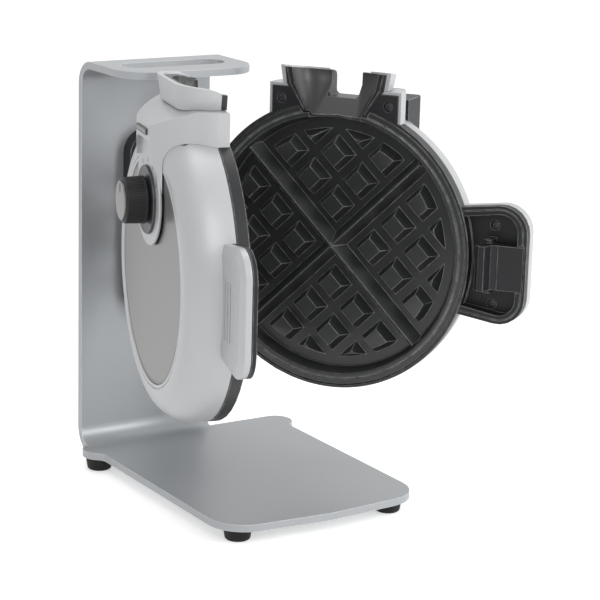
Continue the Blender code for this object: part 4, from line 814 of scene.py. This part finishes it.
neck_side = [
    (0.0518, 0.0095), (0.0500, 0.0150), (0.0462, 0.0215), (0.0400, 0.0310),
    (0.0310, 0.0410), (0.0215, 0.0474), (0.0120, 0.0485),
]
roof_line = [(0.0220, 0.1180), (0.0345, 0.1135), (0.0420, 0.1098), (0.0478, 0.1060)]
tool_front, tool_top, wide_cut = -0.004, 0.150, 0.056
funnel_sections = [(0.0990, 0.0262, 0.0090), (0.1180, 0.0380, 0.0275), (0.1420, 0.0415, 0.0295)]


def neck_outline(wall=0.0):
    right = [(0.0518, 0.0010), (0.0518, 0.0060), *smooth_line(neck_side)]
    right = [(half - wall, out - wall * (out > 0.03)) for half, out in right]
    return right + [(-half, out) for half, out in reversed(right)]


def along_cut(name, half, line):
    """A carving tool: a side view (out, up) pressed along the whole width."""
    outline = [spot(half, -wide_cut, up, out) for out, up in line]
    return press_piece(name, outline, spot(half, 2 * wide_cut, 0, 0))


def funnel_plan(half_width, depth, front):
    """The funnel from above: straight cheeks and a flat back with round corners."""
    radius = min(0.0235, depth * 0.9, half_width * 0.9)
    across, back = half_width - radius, depth - radius
    left = round_line((-across, back), radius, pi, pi / 2, 12)
    right = round_line((across, back), radius, pi / 2, 0, 12)
    return [(-half_width, front), *left, *right, (half_width, front)]


def funnel_block(name, half, grow=0.0, front=-0.002, flare=0.0):
    """The funnel as a solid, to carve with or to carve out."""
    rings = []
    for up, wide, deep in funnel_sections:
        more = grow + (flare if up > 0.13 else 0)
        plan = funnel_plan(wide + more, deep + more, front)
        rings.append([spot(half, along, up, out) for along, out in plan])
    return skin_piece(name, rings)


def upright_press(name, half, outline, low, tall):
    """Press an outline of (along, out) upwards."""
    points = [spot(half, along, low, out) for along, out in outline]
    return press_piece(name, points, Vector((0, 0, tall)))


def make_neck(half, name):
    neck = upright_press(name, half, neck_outline(), 0.060, 0.0715)
    sloping = [(tool_front, 0.1180), *smooth_line(roof_line), (0.0520, 0.1030)]
    above = [(0.0520, 0.140), (tool_front, 0.140)]
    return carve(neck, along_cut("roof", half, sloping + above))


def hollow_neck(neck, half, last):
    inner = [(along, min(max(out, 0.0091), last)) for along, out in neck_outline(0.0025)]
    carve(neck, upright_press("hollow", half, inner, 0.058, 0.045))
    carve(neck, box_piece("ear_room", half, 0.0498, (0.060, 0.1160), (-0.002, 0.0066)))
    carve(neck, funnel_block("funnel_room", half, 0.0003))
    return carve(neck, dome_block(half, -0.0002))


def arch(wide, foot, top, corner, steps=8):
    """An arch seen square on, as (along, up): straight sides and rounded shoulders."""
    left = round_line((corner - wide, top - corner), corner, pi / 2, pi, steps)
    right = round_line((wide - corner, top - corner), corner, 0, pi / 2, steps)
    return [(wide, foot), *right, *left, (-wide, foot)]


fascia_face, fascia_radius = 0.0445, 0.0320
tongue_side = [(0.0252, 0.0760), (0.0240, 0.0850), (0.0236, 0.0960)]


def tongue_outline():
    """The round fascia about the knob, drawn out into a neck that joins the hood."""
    circle = round_line((0, knob_up), fascia_radius, radians(150), radians(390), 36)
    right = smooth_line([circle[-1], *tongue_side], 4)[1:]
    left = [(-along, up) for along, up in reversed(tongue_side)]
    return circle + right + smooth_line([*left, circle[0]], 4)[:-1]


def make_control_hood():
    half, beyond = "control", 0.052
    hood = make_neck(half, "control_hood_cover")
    carve(hood, box_piece("low_cut", half, 0.06, (0.05, 0.0790), (fascia_face, beyond)))
    bevel(hood, 0.0034, 5, 28)
    recess = arch(0.0222, 0.040, 0.0945, 0.012)
    carve(hood, flat_press("recess", half, recess, fascia_face, beyond))
    tongue = flat_press("tongue", half, tongue_outline(), 0.0421, fascia_face)
    carve(hood, bevel(tongue, 0.0009, 3, 50), "UNION")
    hollow_neck(hood, half, 0.0418)
    carve(hood, shaft_room(half, 0.050, 0.038))
    ease(hood, 0)
    seat(hood, half, "silver_paint", "control_hood")


make_control_hood()

# %% [markdown]
# A silver collar rings the funnel above the roof, and both are cut off by the slanting mouth.
# The collar is the funnel's own block, a little larger, with the inside carved out. On the
# lid it is two pieces, since the pouring notch goes right through it.

# %% Funnel collars
mouth_up, notch_half = 0.1315, 0.0165
mouth_slope = {"control": 0.10, "lid": -0.14}


def mouth_cut(half, drop=0.0):
    """All above the slanting mouth; the control half's front edge falls away in a curve."""
    behind, slope = 0.050, mouth_slope[half]
    line = [(out, mouth_up + out * slope - drop) for out in (tool_front, behind)]
    if half == "control":
        bend = [
            (tool_front, 0.1286), (0.0030, 0.1292), (0.0070, 0.1308), (0.0110, 0.1322),
            (0.0160, 0.1331),
        ]
        bend = [*smooth_line(bend), (0.0220, 0.1336), line[1]]
        line = [(out, up - drop) for out, up in bend]
    return along_cut("above_mouth", half, [*line, (behind, tool_top), (tool_front, tool_top)])


def notch_cut(low):
    """The lid's pouring notch, from a height upwards."""
    return box_piece("notch", "lid", notch_half, (low, tool_top), (0.012, 0.052))


def under_roof(half):
    sloping = [(out, up + 0.0003) for out, up in smooth_line(roof_line)]
    below = [(0.0520, 0.1033), (0.0520, 0.090), (tool_front, 0.090)]
    return along_cut("under_roof", half, [(tool_front, 0.1183), *sloping, *below])


def funnel_wall(name, half, outer, inner, front, drop=0.0):
    """The funnel's wall above the roof and under the slanting mouth."""
    wall = funnel_block(name, half, outer, front=front, flare=0.0006)
    carve(wall, funnel_block("inside", half, inner, front=tool_front))
    carve(wall, under_roof(half))
    return carve(wall, mouth_cut(half, drop))


def make_collar(half, name, front, *nodes):
    collar = funnel_wall(name, half, 0.0032, 0.0003, front)
    if half == "lid":
        carve(collar, notch_cut(0.100))
    seat(ease(collar, 0.0011, 3), half, "silver_paint", *nodes)


make_collar("control", "control_funnel_collar", 0.0046, "control_collar")
make_collar(
    "lid", "lid_funnel_collar", 0.0010, "lid_collar_hinge_side", "lid_collar_handle_side"
)

# %% [markdown]
# On the lid the same neck is two mouldings: silver sides in one piece with the dome, and a
# black cover behind them. Both are the same outline, sliced at a distance out from the
# closing plane, with a channel cut through for the pouring notch. A small black box is added
# to the cover at the handle's side, as in the photograph.

# %% The lid's dome, neck and back cover
def sliced_neck(name, inner, outer):
    half = "lid"
    neck = make_neck(half, name)
    keep = box_piece("keep", half, wide_cut, (0.050, 0.140), (inner, outer))
    carve(neck, keep, "INTERSECT")
    return carve(neck, notch_cut(0.1030))


cover_front, hollow_back = 0.0203, 0.0460
silver_neck = hollow_neck(sliced_neck("lid_neck", 0.0010, 0.0200), "lid", hollow_back)
lid_dome = make_dome("lid")
carve(lid_dome, silver_neck, "UNION")
ease(lid_dome, 0)
seat(lid_dome, "lid", "silver_paint", "lid_shell")

back_cover = sliced_neck("lid_back_housing", cover_front, 0.0485)
side_box = [
    (0.0300, cover_front), (0.0505, cover_front), (0.0505, 0.0440), (0.0480, 0.0480),
    (0.0300, 0.0480),
]
carve(back_cover, upright_press("side_box", "lid", side_box, 0.0805, 0.0300), "UNION")
bevel(back_cover, 0.0016, 3, 28)
hollow_neck(back_cover, "lid", hollow_back)
ease(back_cover, 0)
seat(back_cover, "lid", "black_plastic", "lid_back_cover")

# %% [markdown]
# The rim is the black moulding that carries everything: a ring, two ears with screws, two
# hinge arms and the half funnel. Its solid in the CAD model already has the right faces, so
# a copy of it is merged, its seat is widened for the plate's flange, and its edges are eased.
# A groove runs down each flank of the funnel, the lid's notch gets a rounded channel, and the
# control half's liner a small lip. Last, a finely turned band makes the rim's side smooth.

# %% Rims
def flank_groove(half, side):
    """A thin tool that follows the funnel's flank on the front face."""
    line = [(side * 0.0389, 0.1340), (side * 0.0351, 0.1180), (side * 0.0240, 0.1003)]
    inner = [(along - 0.0004, up) for along, up in line]
    outer = [(along + 0.0004, up) for along, up in reversed(line)]
    return flat_press("strip", half, inner + outer, -0.002, 0.0007)


def notch_saddle(half):
    """The rounded channel behind the lid's notch: two cheeks and a filleted floor."""
    wide, fillet, outside = 0.0118, 0.0034, 0.0163
    bend_up = 0.1087 + fillet
    inner = [(wide, 0.140), *round_line((wide - fillet, bend_up), fillet, 0, -pi / 2, 6)]
    inner += round_line((fillet - wide, bend_up), fillet, -pi / 2, -pi, 6)
    inner += [(-wide, 0.140), (-outside, 0.140), (-outside, 0.1033)]
    inner += [(outside, 0.1033), (outside, 0.140)]
    saddle = flat_press("saddle", half, inner, 0.0165, 0.0331)
    wall = [(0.0178, 0.1085), (0.0262, 0.1180), (0.0268, tool_top), (0.0120, tool_top)]
    carve(saddle, along_cut("inside_wall", half, [(0.0120, 0.1020), *wall]))
    top = [(0.0150, 0.1285), (0.0270, 0.1268), *round_line((0.0281, 0.1213), 0.0050, pi / 2, 0, 6)]
    top += [(0.0400, 0.1213), (0.0400, tool_top), (0.0150, tool_top)]
    return carve(saddle, along_cut("saddle_top", half, top))


def liner_lip(half):
    """The thin lip of the funnel's liner that stands before the silver collar."""
    lip = funnel_wall("end_lip", half, 0.0028, -0.0020, 0.0003, 0.0004)
    span = box_piece("end_span", half, wide_cut, (0.116, tool_top), (-0.002, 0.0043))
    return carve(lip, span, "INTERSECT")


def side_band(half):
    """A smooth ring round the rim's side, open where the funnel's foot passes."""
    inner, outer, front, back = 0.1066, 0.1082, 0.0008, 0.0085
    section = [(inner, front), (outer, front), (outer, back), (inner, back), (inner, front)]
    band = turn_piece("band", half, section, steps=320)
    carve(band, box_piece("funnel_span", half, 0.0340, (0.090, 0.115), (tool_front, 0.012)))
    return ease(band, 0.0003)


def make_rim(half):
    rim = copy_node(f"{half}_rim", f"{half}_rim_moulding")
    flange = [(0, -0.002), (0.1061, -0.002), (0.1061, 0.0037), (0, 0.0037)]
    seat_room = turn_piece("seat_room", half, flange)
    carve(seat_room, funnel_foot(half, 0.0253, 0.0970, tool_front, 0.006))
    carve(rim, to_world(seat_room, half))
    carve(rim, to_world(mouth_cut(half, 0.0012), half))
    if half == "control":
        carve(rim, to_world(liner_lip(half), half), "UNION")
    for side in (-1, 1):
        carve(rim, to_world(flank_groove(half, side), half))
    if half == "lid":
        carve(rim, to_world(notch_saddle(half), half), "UNION")
    ease(rim, 0.0005)
    carve(rim, to_world(side_band(half), half), "UNION")
    ease(rim, 0)
    hand_over(rim, f"{half}_half", "black_moulding", f"{half}_rim")


for half in side_sign:
    make_rim(half)

# %% [markdown]
# The handle is a rounded pad that spreads from the rim. Its silver back has a gentle slope all
# round and three long grooves for the fingers. The back is pressed from its outline, its face
# is inset and raised to make the slope, and the inside is carved out. The black moulding
# inside each handle is a copy of its CAD solid with eased edges.

# %% Handles
handle_reach, handle_half, handle_root_half, handle_root = 0.1510, 0.0465, 0.0382, 0.090
handle_rise, handle_corner = 0.0002, 0.0200


def handle_outline(inset=0.0, root=handle_root):
    """The handle seen square on, as (along, up), with two rounded corners at the tip."""
    spread = (handle_half - handle_root_half) / (handle_reach - handle_root)
    tilt = atan(spread)
    reach, wide, radius = handle_reach - inset, handle_half - inset, handle_corner - inset
    slim = handle_root_half + spread * (root - handle_root) - inset
    centre = (reach - radius, wide - spread * radius - radius / cos(tilt))
    upper = round_line(centre, radius, 0, pi / 2 + tilt, 12) + [(root, slim)]
    lower = [(along, -up) for along, up in reversed(upper)]
    return [(along, up + handle_rise) for along, up in upper + lower]


def raise_back_face(piece, half, slope, rise):
    """Inset the face that looks furthest out and raise it."""
    furthest = max(face.center.x * side_sign[half] for face in piece.data.polygons)
    pick(piece, "FACE", lambda face: face.center.x * side_sign[half] > furthest - 0.0001)
    bpy.ops.mesh.inset(thickness=slope, depth=rise)
    leave_edit()


def make_handle_back(half):
    split = 0.0128 if half == "control" else 0.0091
    back = flat_press(f"{half}_handle_back", half, handle_outline(), split, 0.0176)
    raise_back_face(back, half, 0.0062, 0.0021)
    ease(back, 0.0008, 3, 14)
    carve(back, flat_press("pocket", half, handle_outline(0.0025, 0.088), split - 0.002, 0.0160))
    for step in range(3):
        groove = arch(0.0012, -0.0215, 0.0185, 0.0011, 4)
        groove = [(along + 0.1110 + 0.0062 * step, up) for along, up in groove]
        carve(back, flat_press("finger_groove", half, groove, 0.0184, 0.0230))
    carve(back, dome_block(half, -0.0003))
    ease(back, 0.0002, 2, 50)
    seat(back, half, "silver_paint", f"{half}_handle_shell")


for half in side_sign:
    make_handle_back(half)


def ease_copy(node, name, body, finish, width, segments=3, angle=40):
    """A CAD node's copy with rounded edges, where its solid has the right faces already."""
    piece = copy_node(node, name)
    ease(piece, width, segments, angle)
    hand_over(piece, body, finish, node)


plastic = "black_plastic"
ease_copy("control_handle_cover", "control_handle_inner", "control_half", plastic, 0.0006, 2, 35)
ease_copy("lid_handle_tray", "lid_handle_tray_lips", "lid_half", plastic, 0.0004, 2, 35)

# %% [markdown]
# The latch is a block with a broad ridge at its front. It is copied too, and the far side of
# its ridge is moved outwards, so the ridge is as broad as the one in the photograph.

# %% Latch
hook = copy_node("latch_hook", "latch_block")
lid_bench = half_matrix("lid")
to_bench = lid_bench.inverted()
ridge_first, ridge_last, ridge_shift = 0.1205, 0.1245, 0.0016


def on_ridge(vertex):
    place = to_bench @ vertex.co
    return place.x < 0.0005 and ridge_first < -place.y < ridge_last


pick(hook, "VERT", on_ridge)
bpy.ops.transform.translate(value=lid_bench.to_3x3() @ Vector((0, -ridge_shift, 0)))
leave_edit()
ease(hook, 0.0005, 3, 35)
hand_over(hook, "latch", plastic, "latch_hook")

# %% [markdown]
# The stand is one strip of steel sheet, bent twice, with a slot for the hand. Its sheared
# edges are rounded over before painting, and a painted highlight on them gives the bright line along every edge.

# %% Stand, feet and bracket
ease_copy("stand_frame", "bent_stand", "stand", "stand_metal", 0.0012)
ease_copy("hinge_bracket", "hinge_block", "stand", plastic, 0.0009)
for corner in ("rear_left", "rear_right", "front_left", "front_right"):
    ease_copy(f"foot_{corner}", f"foot_pad_{corner}", "stand", "rubber", 0.0007, 3, 35)

# %% [markdown]
# The heat control is a black knob with a brushed steel cap, standing in a dark dish on the
# silver tongue. The knob's side tapers a little, has a fine bead at its foot and many narrow
# grooves for the grip, which are every second face of the turned side, sunk a little. A
# short black line on the cap points to plain numbers on the tongue.

# %% Knob and dial
dish_face = fascia_face + 0.0003
knob_foot, knob_tall = dish_face + 0.0022, 0.0160
cap_foot = knob_foot + knob_tall - 0.0001


def groove_side(piece, depth):
    """Sink every second one of the long faces round a turned piece."""
    upright = [face for face in piece.data.polygons if abs(face.normal.x) < 0.1]
    long_area = 0.7 * max(face.area for face in upright)
    side = [face.index for face in upright if face.area > long_area]
    chosen = set(side[::2])
    pick(piece, "FACE", lambda face: face.index in chosen)
    bpy.ops.mesh.inset(thickness=0.00008, depth=-depth, use_individual=True)
    leave_edit()


def turn_and_seat(name, profile, base, steps, finish, node, body, work_on=None):
    """Turn a profile about the knob's axis, shape it further and seat it."""
    piece = turn_piece(name, "control", profile, base, knob_up, steps=steps)
    if work_on:
        work_on(piece)
    seat(ease(piece, 0), "control", finish, node, body=body)


knob_profile = [
    (0, 0.009), (0.0033, 0.009), (0.0033, 0), (0.0150, 0), (0.0164, 0.0002), (0.0168, 0.0008),
    (0.0168, 0.0018), (0.0165, 0.0022), (0.0161, knob_tall - 0.0014), (0.0158, knob_tall - 0.0007),
    (0.0152, knob_tall - 0.0001), (0.0148, knob_tall), (0.0141, knob_tall),
    (0.0140, knob_tall - 0.0004), (0, knob_tall - 0.0004),
]
cap_profile = [
    (0, 0), (0.0137, 0), (0.0137, 0.0008), (0.0134, 0.0011), (0.0130, 0.0012), (0, 0.0012),
]
dish_profile = [
    (shaft_radius, 0), (0.0240, 0), (0.0240, 0.0012), (0.0237, 0.0017), (0.0231, 0.0018),
    (0.0226, 0.0016), (0.0190, 0.0010), (shaft_radius, 0.0008), (shaft_radius, 0),
]
pointer_outline = arch(0.0015, knob_up + 0.0058, knob_up + 0.0124, 0.0014, 4)


def press_pointer(name, low, high):
    return flat_press(name, "control", pointer_outline, cap_foot + low, cap_foot + high)


turn_and_seat(
    "knob_body", knob_profile, knob_foot, 144, "knob_black", "knob", "knob",
    lambda knob: groove_side(knob, 0.0003),
)
turn_and_seat(
    "knob_steel_cap", cap_profile, cap_foot, 96, "brushed_steel", "knob_cap", "knob",
    lambda cap: carve(cap, press_pointer("pointer_room", 0.0008, 0.002)),
)
seat(ease(press_pointer("knob_pointer", 0.0007, 0.00118), 0), "control", "printing", body="knob")
turn_and_seat(
    "dial_dish", dish_profile, dish_face, 128, "dark_metal", "dial_bezel", "control_half"
)


def add_number(label, angle, radius=0.0281, size=0.0040):
    """A plain printed number on the tongue, as thin raised text made a mesh."""
    clear_bench()
    bpy.ops.object.text_add()
    text = bpy.context.object
    text.data.body, text.data.size, text.data.extrude = label, size, 0.00004
    text.data.align_x, text.data.align_y = "CENTER", "CENTER"
    bpy.ops.object.convert(target="MESH")
    along, up = radius * sin(angle), knob_up + radius * cos(angle)
    place = Matrix.Translation(spot("control", along, up, fascia_face + 0.00006))
    facing = Matrix.Rotation(-pi / 2, 4, "Z") @ Matrix.Rotation(pi / 2, 4, "X")
    text.matrix_world = place @ facing
    bpy.ops.object.transform_apply()
    return text


numbers = join([add_number(str(k + 1), radians(-60 + 30 * k)) for k in range(5)])
numbers.name = numbers.data.name = "dial_numbers"
seat(numbers, "control", "printing")

# %% [markdown]
# The badge on the hood is a small dark plate. It is left blank here, with a brushed field in
# its middle.

# %% Badge
badge = copy_node("badge_plate", "badge_blank")
ease(badge, 0.0003)
hand_over(badge, "control_half", "dark_metal", "badge_plate")
badge_face = max(outs("control", badge))
field_depth = (badge_face - 0.0003, badge_face + 0.0001)
field = box_piece("badge_field", "control", 0.0122, (0.0987, 0.1013), field_depth)
seat(ease(field, 0.0001), "control", "brushed_steel")

# %% [markdown]
# The screws are small pan heads with a cross recess. Each is turned and carved at its own
# place, and the CAD screw there tells how far out its head lies.

# %% Screws
def make_screw_head(name, half, along, up, front):
    """A pan head whose top is at the given distance out, with a cross recess."""
    profile = [
        (0, 0.0018), (0.0032, 0.0018), (0.0032, 0.0009), (0.0030, 0.0004), (0.0025, 0.0001),
        (0.0015, 0), (0, 0),
    ]
    head = turn_piece(name, half, profile, front, up, along, 40)
    for wide, tall in ((0.0021, 0.0006), (0.0006, 0.0021)):
        upright, deep = (up - tall, up + tall), (front - 0.001, front + 0.0010)
        carve(head, box_piece("cross", half, wide, upright, deep, along))
    return ease(head, 0)


screw_places = {
    "ear_screw_hinge_side": (-0.042, 0.1070), "ear_screw_handle_side": (0.042, 0.1070),
    "handle_screw_upper": (0.1233, 0.0272), "handle_screw_lower": (0.1233, -0.0312),
}
for half in side_sign:
    for place_name, (along, up) in screw_places.items():
        node = f"{half}_{place_name}"
        front = min(outs(half, frame["nodes"][node]))
        head = make_screw_head(f"{node}_head", half, along, up, front)
        seat(head, half, "dark_metal", node)
